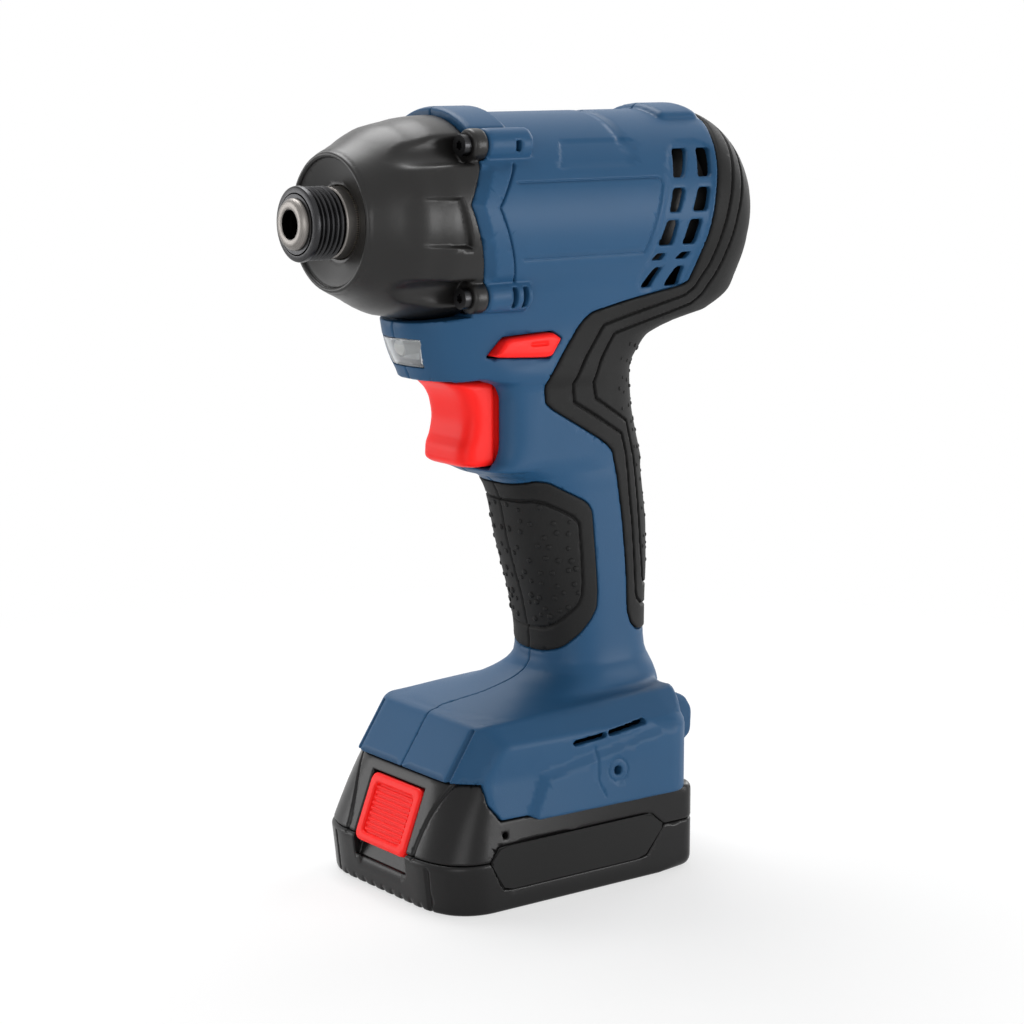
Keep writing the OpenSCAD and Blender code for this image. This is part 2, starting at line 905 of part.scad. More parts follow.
module hammer_case_screws() {
    color(steel) at_case_screws() difference() {
        union() {
            rod(boss_x - case_head_h, boss_x, case_head_r);
            rod(boss_x - eps, boss_x + case_screw_len, case_screw_r);
        }
        on_axis(boss_x - case_head_h - eps) cylinder(r = 1.5, h = 1.4, $fn = 6);
    }
}

module nose_bush() {
    color(brass) difference() {
        union() {
            rod(bush_x - bush_flange_t, bush_x, bush_flange_r);
            rod(bush_x - eps, bush_x + bush_len, bush_r);
        }
        rod(bush_x - bush_flange_t - 1, bush_x + bush_len + 1, anvil_r + run);
    }
}

// Bit holder

module anvil() {
    color(steel) difference() {
        union() {
            rod(nose_x, jaw_x + eps, anvil_r);
            rod(jaw_x, jaw_end, anvil_r + 2.5);
            intersection() {
                rod(jaw_x, jaw_end, jaw_r);
                block([-far, -jaw_w / 2, axis_z - far], [far, jaw_w / 2, axis_z + far]);
            }
        }
        rod(nose_x - 1, nose_x + lead_len, lead_r);
        on_axis(nose_x) cylinder(r = hex_af / 2 / cos(30), h = socket_depth, $fn = 6);
        rod(jaw_end - 6, jaw_end + 1, spindle_r - 3 + run);
        cross_bar(lock_ball_x, axis_z, lock_ball_r + 0.1, -anvil_r - 1, anvil_r + 1);
        tube(nose_x + 0.7, washer_x - 0.05, anvil_r + 1, anvil_r - 0.7);
    }
}

module retaining_ring() {
    color(steel) difference() {
        tube(nose_x + 0.75, washer_x - 0.1, anvil_r + 1.3, anvil_r - 0.7 + seat);
        block([-far, -1.5, axis_z], [far, 1.5, axis_z + far]);
    }
}

module sleeve_washer() {
    color(steel) tube(washer_x, washer_x + washer_t, washer_r, anvil_r + seat);
}

module sleeve_spring() {
    start = washer_x + washer_t + 0.05;
    color(steel) on_axis(start) coil(shoulder_x - start - 0.05, anvil_r + 1.25, 0.4, 3);
}

module bit_sleeve() {
    tail_r = sleeve_r - 1.5;
    groove_r = sleeve_r - 1.1;
    ring_pitch = 1.9;
    rings = 4;
    color(charcoal) difference() {
        union() {
            rod(sleeve_front, sleeve_end, tail_r);
            rod(sleeve_front, sleeve_front + 1.7, sleeve_r);
            rod(sleeve_front, sleeve_front + 10, groove_r);
            for (i = [1 : rings])
                rod(sleeve_front + 0.9 + ring_pitch * i, sleeve_front + 1.9 + ring_pitch * i, sleeve_r - 0.35);
        }
        rod(sleeve_front - 1, shoulder_x, chamber_r);
        rod(sleeve_front - 1, sleeve_end + 1, sleeve_bore);
        on_axis(sleeve_end - 3) cylinder(r1 = sleeve_bore, r2 = sleeve_mouth, h = 3 + eps);
    }
}

module lock_ball(side) {
    color(steel) translate([lock_ball_x, side * lock_ball_orbit, axis_z]) sphere(r = lock_ball_r);
}

module lock_ball_left() {
    lock_ball(-1);
}

module lock_ball_right() {
    lock_ball(1);
}

// Impact mechanism

module cam_ball_at(side, x, r) {
    translate([x, 0, axis_z + side * cam_ball_orbit]) sphere(r = r);
}

module hammer() {
    lug_in = anvil_r + 5.5;
    color(steel) difference() {
        union() {
            rod(hammer_x, hammer_end, hammer_r);
            intersection() {
                tube(jaw_x + gap, hammer_x + eps, hammer_r - 1.5, lug_in);
                block([-far, -far, axis_z - jaw_w / 2], [far, far, axis_z + jaw_w / 2]);
            }
        }
        rod(hammer_x - 1, hammer_end + 1, spindle_r + run);
        tube(spring_seat, hammer_end + 1, hammer_spring_r + hammer_wire_r + 1.5, hammer_spring_r - hammer_wire_r - 1.2);
        for (s = [-1, 1]) {
            cam_ball_at(s, cam_ball_x, cam_ball_r + 0.2);
            translate([0, 0, s * cam_ball_orbit]) rod(hammer_x - 1, cam_ball_x, cam_ball_r + 0.2);
        }
    }
}

module hammer_spring() {
    start = spring_seat + 0.05;
    color(steel) on_axis(start) coil(flange_x - 0.05 - start, hammer_spring_r, hammer_wire_r, 3);
}

module cam_balls() {
    color(steel) for (s = [-1, 1]) cam_ball_at(s, cam_ball_x, cam_ball_r);
}

// Turns children about the drive axis
module about_axis(angle) {
    translate([0, 0, axis_z]) rotate([angle, 0, 0]) translate([0, 0, -axis_z]) children();
}

// Places children, drawn on the drive axis, at planet k
module at_planet(k) {
    about_axis(-120 * k) translate([0, 0, -planet_orbit]) children();
}

module spindle() {
    post_r = 2.8;
    post_orbit = planet_orbit + 2;
    color(steel) difference() {
        union() {
            rod(jaw_end - 5.5, jaw_end + gap + eps, spindle_r - 3);
            rod(jaw_end + gap, flange_x + eps, spindle_r);
            rod(flange_x, flange_x + flange_t, carrier_r);
            rod(rear_flange_x, hub_x, carrier_r);
            rod(hub_x - eps, hub_x + hub_len, hub_r);
            for (k = [0 : planet_count - 1])
                about_axis(120 * k + 60) translate([0, 0, -post_orbit]) rod(flange_x, hub_x, post_r);
        }
        rod(planet_x - 1, hub_x + hub_len + 1, sun_tip_r + 0.6);
        for (k = [0 : planet_count - 1])
            at_planet(k) rod(flange_x - 1, hub_x + 1, pin_r + seat);
        for (s = [-1, 1]) cam_ball_at(s, cam_ball_x, cam_ball_r + seat);
    }
}

module planet_pins() {
    color(steel) for (k = [0 : planet_count - 1]) at_planet(k) rod(flange_x, hub_x, pin_r);
}

// Gears

mesh_slack = 0.7;
module planet_gear(k) {
    color(steel) at_planet(k) difference() {
        on_axis(planet_x)
            gear_plate(planet_teeth, tooth_module * (planet_teeth / 2 + 0.95), tooth_module * (planet_teeth / 2 - 1.25),
                mesh_slack, 180 / planet_teeth, gear_w);
        rod(planet_x - 1, planet_end + 1, pin_r + run);
    }
}

module planet_gear_1() {
    planet_gear(0);
}

module planet_gear_2() {
    planet_gear(1);
}

module planet_gear_3() {
    planet_gear(2);
}

module ring_gear() {
    color(steel) difference() {
        rod(ring_x, ring_end, ring_r);
        on_axis(ring_x - 1)
            gear_plate(ring_teeth, ring_pitch_r + 1.25 * tooth_module, ring_pitch_r - 0.9 * tooth_module,
                -0.25, 180 / ring_teeth, ring_end - ring_x + 2);
    }
}

module pinion() {
    color(steel) difference() {
        on_axis(planet_x)
            gear_plate(sun_teeth, tooth_module * (sun_teeth / 2 + 0.95), tooth_module * (sun_teeth / 2 - 1.25),
                mesh_slack, 0, gear_w);
        rod(planet_x - 1, planet_end + 1, shaft_r);
    }
}

module gearbox_plate() {
    bearing_end = plate_x + bearing_w + 0.2;
    color(charcoal) difference() {
        union() {
            rod(ring_end, plate_end, skirt_r);
            rod(plate_end - eps, front_bearing_end, front_bearing_r + 3);
        }
        rod(ring_end - 1, plate_x, carrier_r + 1);
        rod(ring_end - 1, bearing_end, bearing_r + seat);
        rod(ring_end - 1, hub_x + hub_len + gap, hub_r + 0.6);
        rod(ring_end - 1, front_bearing_end + 1, sun_tip_r + 0.3);
        rod(plate_end, front_bearing_end + 1, front_bearing_r + seat);
    }
}

module spindle_bearing() {
    color(steel) tube(plate_x + 0.1, plate_x + 0.1 + bearing_w, bearing_r, hub_r + run);
}

// Motor

module motor_can() {
    color(charcoal) tube(can_x, can_end, motor_r, motor_r - can_wall);
}

module motor_magnets() {
    color(dark) difference() {
        tube(can_x + 3, can_end - 3, magnet_r, magnet_r - magnet_t);
        block([-far, -9, -far], [far, 9, far]);
    }
}

module rotor_core() {
    slots = 12;
    color(charcoal) difference() {
        rod(core_x, core_end, core_r);
        rod(core_x - 1, core_end + 1, shaft_r);
        for (i = [0 : slots - 1])
            about_axis(360 * i / slots) translate([0, 0, core_r - 1]) rod(core_x - 1, core_end + 1, 1.6);
    }
}

module rotor_windings() {
    turns_len = 3.6;
    color(copper) for (x = [core_x - turns_len, core_end])
        turned([
            [x, shaft_r + 3],
            [x, core_r - 5],
            [x + turns_len / 2, core_r - 2.6],
            [x + turns_len, core_r - 3.4],
            [x + turns_len, shaft_r + 3]
        ]);
}

module commutator() {
    bars = 12;
    color(copper) difference() {
        tube(commutator_x, commutator_x + commutator_len, commutator_r, shaft_r);
        for (i = [0 : bars - 1])
            about_axis(360 * i / bars)
                translate([commutator_x + commutator_len / 2, 0, axis_z + commutator_r])
                    cube([commutator_len + 2, 0.5, 1.2], center = true);
    }
}

module rotor_shaft() {
    color(steel) rod(planet_x, rear_bearing_end, shaft_r);
}

module fan() {
    blades = 12;
    color(charcoal) difference() {
        union() {
            rod(fan_x, fan_x + 1.4, fan_r);
            rod(fan_x, fan_x + fan_w, shaft_r + 3.5);
            for (i = [0 : blades - 1])
                about_axis(360 * i / blades)
                    block([fan_x + 1, -0.7, axis_z + shaft_r + 7], [fan_x + fan_w, 0.7, axis_z + fan_r - 0.6]);
        }
        rod(fan_x - 1, fan_x + fan_w + 1, shaft_r);
    }
}

module front_bearing() {
    color(steel) tube(plate_end + 0.1, plate_end + 0.1 + motor_bearing_w, front_bearing_r, shaft_r + run);
}

module rear_bearing() {
    color(steel) tube(rear_bearing_x, rear_bearing_end, rear_bearing_r, shaft_r + run);
}

brush_hw = 2.4;
brush_x = commutator_x + 1.8;
brush_len = 5;
brush_out = 18.5;
module brush_holder() {
    plate_t = 1.6;
    color(dark) difference() {
        union() {
            tube(commutator_x, commutator_x + plate_t, barrel_in - 0.3, commutator_r + 2);
            for (s = [90, 270])
                about_axis(s)
                    block([commutator_x, -brush_hw - 1.6, axis_z + commutator_r + 1.2],
                        [brush_x + brush_len + 1.6, brush_hw + 1.6, axis_z + brush_out + 2]);
        }
        for (s = [90, 270])
            about_axis(s)
                block([brush_x - seat, -brush_hw - seat, axis_z],
                    [brush_x + brush_len + seat, brush_hw + seat, axis_z + brush_out]);
        rod(commutator_x - 1, commutator_x + plate_t + 1, commutator_r + 1);
    }
}

module carbon_brushes() {
    color(dark) for (s = [90, 270])
        about_axis(s) difference() {
            block([brush_x, -brush_hw, axis_z + commutator_r - 1], [brush_x + brush_len, brush_hw, axis_z + brush_out - 1.5]);
            rod(brush_x - 1, brush_x + brush_len + 1, commutator_r + gap);
        }
}

// Switch and controls

module switch_body() {
    color(dark) difference() {
        block([switch_x, -switch_w / 2, switch_bottom], [switch_x + switch_len, switch_w / 2, switch_top]);
        translate([switch_x - 1, 0, stem_z]) rotate([0, 90, 0])
            cylinder(r = stem_r + run, h = stem_end + trigger_travel + 1 - switch_x + 1);
    }
}

// Trigger: heights above its lower end, and how far the finger face lies behind its lower lip
trigger_face = [
    [0, 4],
    [2, 0.8],
    [5, 0],
    [9.5, 3.2],
    [14, 5],
    [19, 3.6],
    [trigger_top - trigger_bottom, 0.4]
];
module trigger() {
    reach = trigger_back - trigger_front;
    color(red) union() {
        intersection() {
            loft([
                for (q = trigger_face)
                    oval(trigger_bottom + q[0], trigger_front + q[1], trigger_back + reach - q[1], trigger_hw, 2.6)
            ]);
            block([-far, -far, 0], [trigger_back, far, far]);
        }
        translate([trigger_back - 2, 0, stem_z]) rotate([0, 90, 0]) cylinder(r = stem_r, h = stem_end - trigger_back + 2);
    }
}

module direction_selector() {
    reach = handle_w / 2 + 1.9 + selector_proud;
    inner = 11;
    color(red) union() {
        selector_prism(0, -reach, -inner);
        selector_prism(0, inner, reach);
        block([selector_x - 6, -inner - 1, selector_z - 2], [selector_x + 6, inner + 1, selector_z + 2.4]);
    }
}

module work_light_lens() {
    color([0.9, 0.93, 0.95, 0.5]) difference() {
        intersection() {
            handle_form(0.15);
            block([-far / 4, -far / 4, lens_bottom + 0.1], [lens_back - 0.1, far / 4, lens_top - 0.1]);
        }
        handle_form(lens_t);
    }
}

module work_light_led() {
    mid_z = (lens_bottom + lens_top) / 2;
    board_x = screw_places[3][0] - screw_boss_r - 1.7;
    color([0.95, 0.9, 0.6]) union() {
        block([board_x, -5.5, mid_z - 3.8], [board_x + 1.6, 5.5, mid_z + 3.8]);
        translate([chin_front + wall + 0.8, 0, mid_z]) rotate([0, 90, 0])
            cylinder(r = 2.4, h = board_x - chin_front - wall - 0.8 + eps);
    }
}

// Electrics in the foot and handle

module blade_slot(y, clear) {
    block([blade_x - clear, y - blade_t / 2 - clear, slot_top - 6 - clear],
        [blade_x + blade_len + clear, y + blade_t / 2 + clear, slot_top + 5.4 + clear]);
}

terminal_top = slot_top + foot_floor + 6;
module terminal_block() {
    color(dark) difference() {
        union() {
            block([terminal_x, -terminal_hw, slot_top + foot_floor], [terminal_x + terminal_len, terminal_hw, terminal_top]);
            block([terminal_x + 2 + seat, -terminal_hw + 2 + seat, slot_top],
                [terminal_x + terminal_len - 2 - seat, terminal_hw - 2 - seat, slot_top + foot_floor + eps]);
        }
        for (y = blade_places) blade_slot(y, seat);
    }
}

module tool_terminals() {
    color(brass) for (y = blade_places) blade_slot(y, 0);
}

lead_x = 20;
lead_y = 5;
lead_wire_r = 1.3;
module battery_leads() {
    color(red) for (s = [-1, 1])
        translate([lead_x, s * lead_y, terminal_top]) cylinder(r = lead_wire_r, h = switch_bottom - terminal_top);
}

module motor_leads() {
    start_x = switch_x + switch_len - 5;
    run_z = axis_z - 31;
    end_x = commutator_x + 0.8;
    color(dark) for (s = [-1, 1]) {
        translate([start_x, s * lead_y, switch_top]) cylinder(r = lead_wire_r, h = run_z - switch_top);
        translate([start_x, s * lead_y, run_z]) sphere(r = lead_wire_r);
        translate([start_x, s * lead_y, run_z]) rotate([0, 90, 0]) cylinder(r = lead_wire_r, h = end_x - start_x);
        translate([end_x, s * lead_y, run_z]) sphere(r = lead_wire_r);
        translate([end_x, s * lead_y, run_z]) cylinder(r = lead_wire_r, h = axis_z - barrel_in + gap - run_z);
    }
}

// Battery

module in_button_frame() {
    translate([battery_front, 0, button_low]) rotate([0, battery_slope, 0]) children();
}

module button_recess() {
    in_button_frame() {
        block([-6, -button_hw - gap, -button_travel - 0.5], [button_t + gap, button_hw + gap, button_h + gap]);
        block([0, -spring_pocket_hw, 3], [button_t + 5.2, spring_pocket_hw, 17.2]);
    }
}

module button_backing(d) {
    back = button_t + gap;
    in_button_frame() {
        block([back - 1 - d, -button_hw - 2.6 - d, -button_travel - 2.6 - d], [back + 2 + d, button_hw + 2.6 + d, 14 + d]);
        block([back - d, -5.2 - d, 1 - d], [back + 7 + d, 5.2 + d, 18 + d]);
    }
}

// Everything above the battery's deck that the foot takes up
module foot_clearance() {
    side_plate([
        [-28.5 - shoulder_gap, battery_h],
        [-32.7 - shoulder_gap, skirt_z + 4.8 - shoulder_gap],
        [-33.6 - shoulder_gap, slot_top],
        [-33.6 - shoulder_gap, slot_top + far / 4],
        [far, slot_top + far / 4],
        [far, battery_h]
    ], -far, far);
}

module battery_head() {
    block([-36, -neck_hw, battery_h - 1.5], [head_end, neck_hw, rail_top + gap + eps]);
    block([-36, -head_hw, rail_top + gap], [head_end, head_hw, head_top]);
}

module battery_outer() {
    difference() {
        battery_form(0, head_top);
        foot_clearance();
    }
    battery_head();
}

module battery_inner() {
    battery_form(battery_wall, battery_h - battery_wall);
    at_cells(cell_r + gap / 2, cell_len / 2 + 0.8);
    block([-28, -neck_hw + battery_wall, battery_h - 6], [head_end - battery_wall, neck_hw - battery_wall, head_top - battery_wall]);
}

panel_t = 1.3;
module side_panel_outline(d) {
    polygon([
        [-26.5 - d, 6.6 - d],
        [28 + d, 6.6 - d],
        [35.2 + 1.2 * d, parting_z - 0.1],
        [30 + d, parting_z + 4.4 + d],
        [-28 - d, parting_z + 4.4 + d],
        [-31.3 - 1.2 * d, parting_z - 0.1]
    ]);
}
module side_panel(s, d, y0, y1) {
    translate([0, s > 0 ? y1 : -y0, 0]) rotate([90, 0, 0]) linear_extrude(y1 - y0) side_panel_outline(d);
}
module panel_recess() {
    for (s = [-1, 1]) side_panel(s, 0.12, battery_hw - panel_t - 0.1, battery_hw + 5);
}

battery_boss_r = 3.1;
battery_screw_r = 1.3;
battery_head_r = 2.3;
module at_battery_screws() {
    for (p = battery_screw_places) translate([p[0], p[1], 0]) children();
}

module battery_bottom_shell() {
    color(charcoal) difference() {
        intersection() {
            union() {
                difference() {
                    battery_outer();
                    battery_inner();
                }
                at_battery_screws() translate([0, 0, 1]) cylinder(r = battery_boss_r, h = parting_z);
            }
            block([-far, -far, -1], [far, far, parting_z]);
        }
        button_recess();
        button_backing(0.1);
        panel_recess();
        at_battery_screws() {
            translate([0, 0, -1]) cylinder(r = battery_screw_r + 0.2, h = parting_z + 2);
            translate([0, 0, -1]) cylinder(r = battery_head_r + 0.2, h = 3.4);
        }
    }
}

module battery_top_shell() {
    color(charcoal) difference() {
        union() {
            intersection() {
                union() {
                    difference() {
                        battery_outer();
                        battery_inner();
                    }
                    at_battery_screws() cylinder(r = battery_boss_r, h = battery_h - 1);
                }
                block([-far, -far, parting_z], [far, far, far]);
            }
            button_backing(0);
        }
        button_recess();
        panel_recess();
        at_battery_screws() cylinder(r = battery_screw_r + seat, h = battery_h - 4);
        for (y = blade_places)
            block([blade_x - 2, y - contact_slot / 2, slot_top - 7.5], [far, y + contact_slot / 2, far / 4]);
    }
}

module battery_side_panels() {
    color(dark) for (s = [-1, 1]) side_panel(s, 0, battery_hw - panel_t, battery_hw - 0.15);
}

module at_cells(r, half_len) {
    for (i = [0 : cell_count - 1]) cross_bar(cell_x + cell_pitch * i, cell_z, r, -half_len, half_len);
}

module battery_cells() {
    color([0.25, 0.5, 0.35]) at_cells(cell_r, cell_len / 2);
}

module cell_straps() {
    strap_t = 0.3;
    color(steel) for (s = [-1, 1], i = [0 : cell_count - 2])
        if ((i + (s > 0 ? 1 : 0)) % 2 == 0)
            translate([cell_x + cell_pitch * (i + 0.5), s * (cell_len / 2 + strap_t / 2), cell_z])
                cube([cell_pitch + 8, strap_t, 8], center = true);
}

board_top = rail_top - 1;
module battery_board() {
    color([0.1, 0.35, 0.2]) block([-20, -neck_hw + battery_wall + 0.1, board_top - 1.6],
        [head_end - battery_wall - 0.2, neck_hw - battery_wall - 0.1, board_top]);
}

module battery_terminals() {
    clip_len = 15;
    inner = blade_t / 2 + gap;
    color(brass) for (y = blade_places)
        translate([blade_x + 1.5, y, board_top]) {
            for (s = [-1, 1])
                translate([0, s * (inner + clip_t / 2) - clip_t / 2, 0]) cube([clip_len, clip_t, head_top - board_top - 0.6]);
            translate([0, -inner - clip_t, 0]) cube([clip_len, 2 * (inner + clip_t), 1]);
        }
}

module battery_screws() {
    color(steel) at_battery_screws() {
        translate([0, 0, 0.7]) cylinder(r = battery_head_r, h = 1.7);
        translate([0, 0, 2.4 - eps]) cylinder(r = battery_screw_r, h = battery_h - 7);
    }
}

button_lug_z = 12.3;
module release_button() {
    color(red) in_button_frame() {
        block([0, -button_hw, 0], [button_t, button_hw, button_h]);
        block([button_t - 1, -spring_pocket_hw + gap, button_lug_z], [button_t + 4.8, spring_pocket_hw - gap, button_lug_z + 4.5]);
    }
}

module button_spring() {
    color(steel) in_button_frame()
        translate([button_t + 2.6, 0, 3.05]) coil(button_lug_z - 3.1, 1.7, 0.3, 5);
}

housing_left();
housing_right();
housing_screws();
rear_grip_left();
rear_grip_right();
front_grip_left();
front_grip_right();
hammer_case();
hammer_case_screws();
nose_bush();
ring_gear();
gearbox_plate();
spindle_bearing();
motor_can();
motor_magnets();
front_bearing();
rear_bearing();
brush_holder();
carbon_brushes();
switch_body();
work_light_lens();
work_light_led();
terminal_block();
tool_terminals();
battery_leads();
motor_leads();
trigger();
direction_selector();
anvil();
sleeve_washer();
retaining_ring();
sleeve_spring();
bit_sleeve();
lock_ball_left();
lock_ball_right();
hammer();
hammer_spring();
cam_balls();
spindle();
planet_pins();
planet_gear_1();
planet_gear_2();
planet_gear_3();
pinion();
rotor_shaft();
rotor_core();
rotor_windings();
commutator();
fan();
battery_bottom_shell();
battery_top_shell();
battery_side_panels();
battery_cells();
cell_straps();
battery_board();
battery_terminals();
battery_screws();
button_spring();
release_button();
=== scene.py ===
import json
import math

import bmesh
import bpy
import numpy as np
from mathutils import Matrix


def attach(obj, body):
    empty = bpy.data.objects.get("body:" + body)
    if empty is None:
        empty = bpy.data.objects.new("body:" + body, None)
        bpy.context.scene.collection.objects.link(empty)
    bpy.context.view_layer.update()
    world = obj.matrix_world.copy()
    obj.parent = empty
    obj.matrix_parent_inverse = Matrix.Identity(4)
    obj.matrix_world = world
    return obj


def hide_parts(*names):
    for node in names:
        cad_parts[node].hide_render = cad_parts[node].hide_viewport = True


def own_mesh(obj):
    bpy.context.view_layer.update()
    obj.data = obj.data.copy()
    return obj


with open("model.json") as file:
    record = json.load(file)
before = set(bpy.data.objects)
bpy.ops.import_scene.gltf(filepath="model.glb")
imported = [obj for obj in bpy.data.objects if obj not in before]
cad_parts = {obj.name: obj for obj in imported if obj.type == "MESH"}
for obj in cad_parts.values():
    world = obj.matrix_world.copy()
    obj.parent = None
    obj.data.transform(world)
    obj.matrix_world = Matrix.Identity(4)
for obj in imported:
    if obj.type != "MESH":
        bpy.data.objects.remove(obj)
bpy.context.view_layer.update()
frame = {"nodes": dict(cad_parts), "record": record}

import openvdb
from mathutils import Vector

scene = bpy.context.scene
mm = 0.001
coarse = 1.0

# Camera, at the photograph's viewpoint
cameraSetup = {
    "place": (-0.4683, -0.6309, 0.2570), "aim": (0.5892, 0.7876, -0.1805), "lens": 91.4, "sensor": 36.0,
    "near": 0.02, "far": 40.0,
}

lensData = bpy.data.cameras.new("photoCamera")
lensData.lens = cameraSetup["lens"]
lensData.sensor_width = cameraSetup["sensor"]
lensData.sensor_fit = "HORIZONTAL"
lensData.clip_start, lensData.clip_end = cameraSetup["near"], cameraSetup["far"]
camera = bpy.data.objects.new("photoCamera", lensData)
camera.location = cameraSetup["place"]
camera.rotation_euler = Vector(cameraSetup["aim"]).to_track_quat("-Z", "Y").to_euler()
scene.collection.objects.link(camera)
scene.camera = camera
scene.view_settings.view_transform = "Standard"
print("camera placed")


# Node helpers: a wrapped socket does maths with plain operators
class Wire:
    def __init__(self, tree, socket):
        self.tree, self.socket = tree, socket

    def math(self, operation, first, second):
        return Maker(self.tree).node("ShaderNodeMath", {"operation": operation}, {0: first, 1: second})

    def __add__(self, other):
        return self.math("ADD", self, other)

    def __radd__(self, other):
        return self.math("ADD", other, self)

    def __sub__(self, other):
        return self.math("SUBTRACT", self, other)

    def __rsub__(self, other):
        return self.math("SUBTRACT", other, self)

    def __mul__(self, other):
        return self.math("MULTIPLY", self, other)

    def __rmul__(self, other):
        return self.math("MULTIPLY", other, self)


class Maker:
    def __init__(self, tree):
        self.tree = tree

    def node(self, kind, settings=None, values=None, out=0):
        made = self.tree.nodes.new(kind)
        for name, value in (settings or {}).items():
            setattr(made, name, value)
        for key, value in (values or {}).items():
            self.plug(value, made.inputs[key])
        return Wire(self.tree, made.outputs[out])

    def plug(self, value, socket):
        if isinstance(value, Wire):
            self.tree.links.new(value.socket, socket)
        else:
            socket.default_value = value

    def vector(self, **parts):
        return self.node("ShaderNodeCombineXYZ", None, parts)

    def seen(self):
        # 1 for rays from the camera, off gloss and through glass
        path = self.tree.nodes.new("ShaderNodeLightPath")
        words = ("Is Camera Ray", "Is Glossy Ray", "Is Transmission Ray")
        direct, glossy, clear = (Wire(self.tree, path.outputs[word]) for word in words)
        return direct.math("MAXIMUM", direct.math("MAXIMUM", direct, glossy), clear)


# Finishes: each has a colour that drifts, a fine grain and a roughness that follows the grain
class Finish(Maker):
    def __init__(self, name, fixed):
        self.material = bpy.data.materials.new(name)
        self.material.use_nodes = True
        super().__init__(self.material.node_tree)
        self.shader = self.tree.nodes["Principled BSDF"]
        for socket, value in fixed.items():
            self.shader.inputs[socket].default_value = value
        self.place = self.node("ShaderNodeTexCoord", out="Object")

    def noise(self, scale, detail=2.0, rough=0.5):
        return self.node("ShaderNodeTexNoise", {"noise_dimensions": "3D"},
                         {"Vector": self.place, "Scale": scale, "Detail": detail, "Roughness": rough})

    def mix(self, factor, first, second):
        return self.node("ShaderNodeMix", {"data_type": "RGBA"}, {0: factor, 6: first, 7: second}, out=2)

    def feed(self, socket, wire):
        self.plug(wire, self.shader.inputs[socket])

    def bump(self, height, strength, depth):
        values = {"Strength": strength, "Distance": depth * mm, "Height": height}
        self.feed("Normal", self.node("ShaderNodeBump", None, values))


def grey(value):
    return (value, value, value)


# Main sizes of the tool, in millimetres
tool = {
    "axis": 204.0, "barrelR": 30.53, "rear": 83.2, "rearRound": 20.0, "wall": 2.6, "gripDepth": 1.4,
    "front": -61.5, "socketR": 4.3,
}
drift = 45.0    # broad patches per metre
# painted shade for the anvil's socket: black where the hole falls in shadow
paintedSocketShade = grey(0.010)

# name, light and dark colour, roughness and its spread, grain per metre, depth in millimetres, shine
grainLooks = {
    "blue_plastic": ("moulded_blue", (0.018, 0.077, 0.168), (0.013, 0.063, 0.142), 0.46, 0.14, 2400, 0.06,
                     0.22),
    "black_rubber": ("grip_rubber", grey(0.014), grey(0.008), 0.62, 0.16, 1900, 0.08, 0.17),
    "black_casting": ("cast_black", (0.010, 0.0095, 0.009), (0.006, 0.0055, 0.0055), 0.36, 0.1, 1500, 0.03,
                      0.34),
    "magnet": ("ferrite_grey", (0.055, 0.055, 0.06), (0.03, 0.03, 0.033), 0.6, 0.2, 1200, 0.1, 0.5),
    "carbon": ("brush_carbon", (0.03, 0.03, 0.032), (0.014, 0.014, 0.015), 0.55, 0.3, 1600, 0.08, 0.5),
    "black_plastic": ("satin_black", grey(0.010), grey(0.006), 0.46, 0.16, 2200, 0.05, 0.17),
    "dark_plastic": ("pack_black", (0.0085, 0.008, 0.0085), grey(0.005), 0.32, 0.14, 2200, 0.06, 0.23),
    "red_plastic": ("moulded_red", (0.97, 0.016, 0.012), (0.90, 0.011, 0.009), 0.42, 0.14, 2400, 0.04, 0.17),
    "led": ("led_white", (0.84, 0.83, 0.78), (0.72, 0.71, 0.66), 0.3, 0.1, 900, 0.03, 0.5),
    "wire_red": ("lead_red", (0.5, 0.03, 0.03), (0.38, 0.02, 0.02), 0.45, 0.1, 1500, 0.04, 0.5),
    "wire_black": ("lead_black", grey(0.03), grey(0.018), 0.45, 0.1, 1500, 0.04, 0.5),
    "cell_wrap": ("cell_green", (0.10, 0.32, 0.18), (0.07, 0.25, 0.13), 0.35, 0.1, 800, 0.03, 0.5),
    "circuit_board": ("board_green", (0.03, 0.16, 0.07), (0.02, 0.11, 0.05), 0.4, 0.15, 700, 0.04, 0.5),
}
# name, light and dark colour, roughness
metalLooks = {
    "black_steel": ("oxide_steel", (0.060, 0.060, 0.062), (0.022, 0.022, 0.024), 0.22),
    "steel": ("turned_steel", (0.55, 0.52, 0.48), (0.34, 0.32, 0.29), 0.24),
    "anvil_steel": ("anvil_steel", (0.42, 0.40, 0.37), (0.26, 0.25, 0.23), 0.28),
    "ring_steel": ("ring_steel", (0.28, 0.265, 0.25), (0.13, 0.12, 0.112), 0.3),
    # darker than bare steel: painted shade for the motor can inside the housing, seen through the vents
    "can_steel": ("can_steel", grey(0.075), grey(0.035), 0.42),
    "bronze": ("sintered_bush", (0.50, 0.45, 0.39), (0.30, 0.27, 0.23), 0.32),
    "brass": ("contact_brass", (0.72, 0.55, 0.24), (0.55, 0.40, 0.16), 0.28),
    "copper": ("winding_copper", (0.72, 0.30, 0.14), (0.50, 0.19, 0.08), 0.3),
}


def rgb(red, green, blue):
    return (red, green, blue, 1.0)


def grained(name, light, dark, rough, spread, grain, depth, shine):
    made = Finish(name, {"Specular IOR Level": shine})
    fine = made.noise(grain, 3.0, 0.6)
    broad = made.noise(drift)
    made.feed("Base Color", made.mix(broad * 0.55 + fine * 0.45, rgb(*dark), rgb(*light)))
    made.feed("Roughness", (fine - 0.5) * spread + rough)
    made.bump(fine, 0.5, depth)
    return made.material


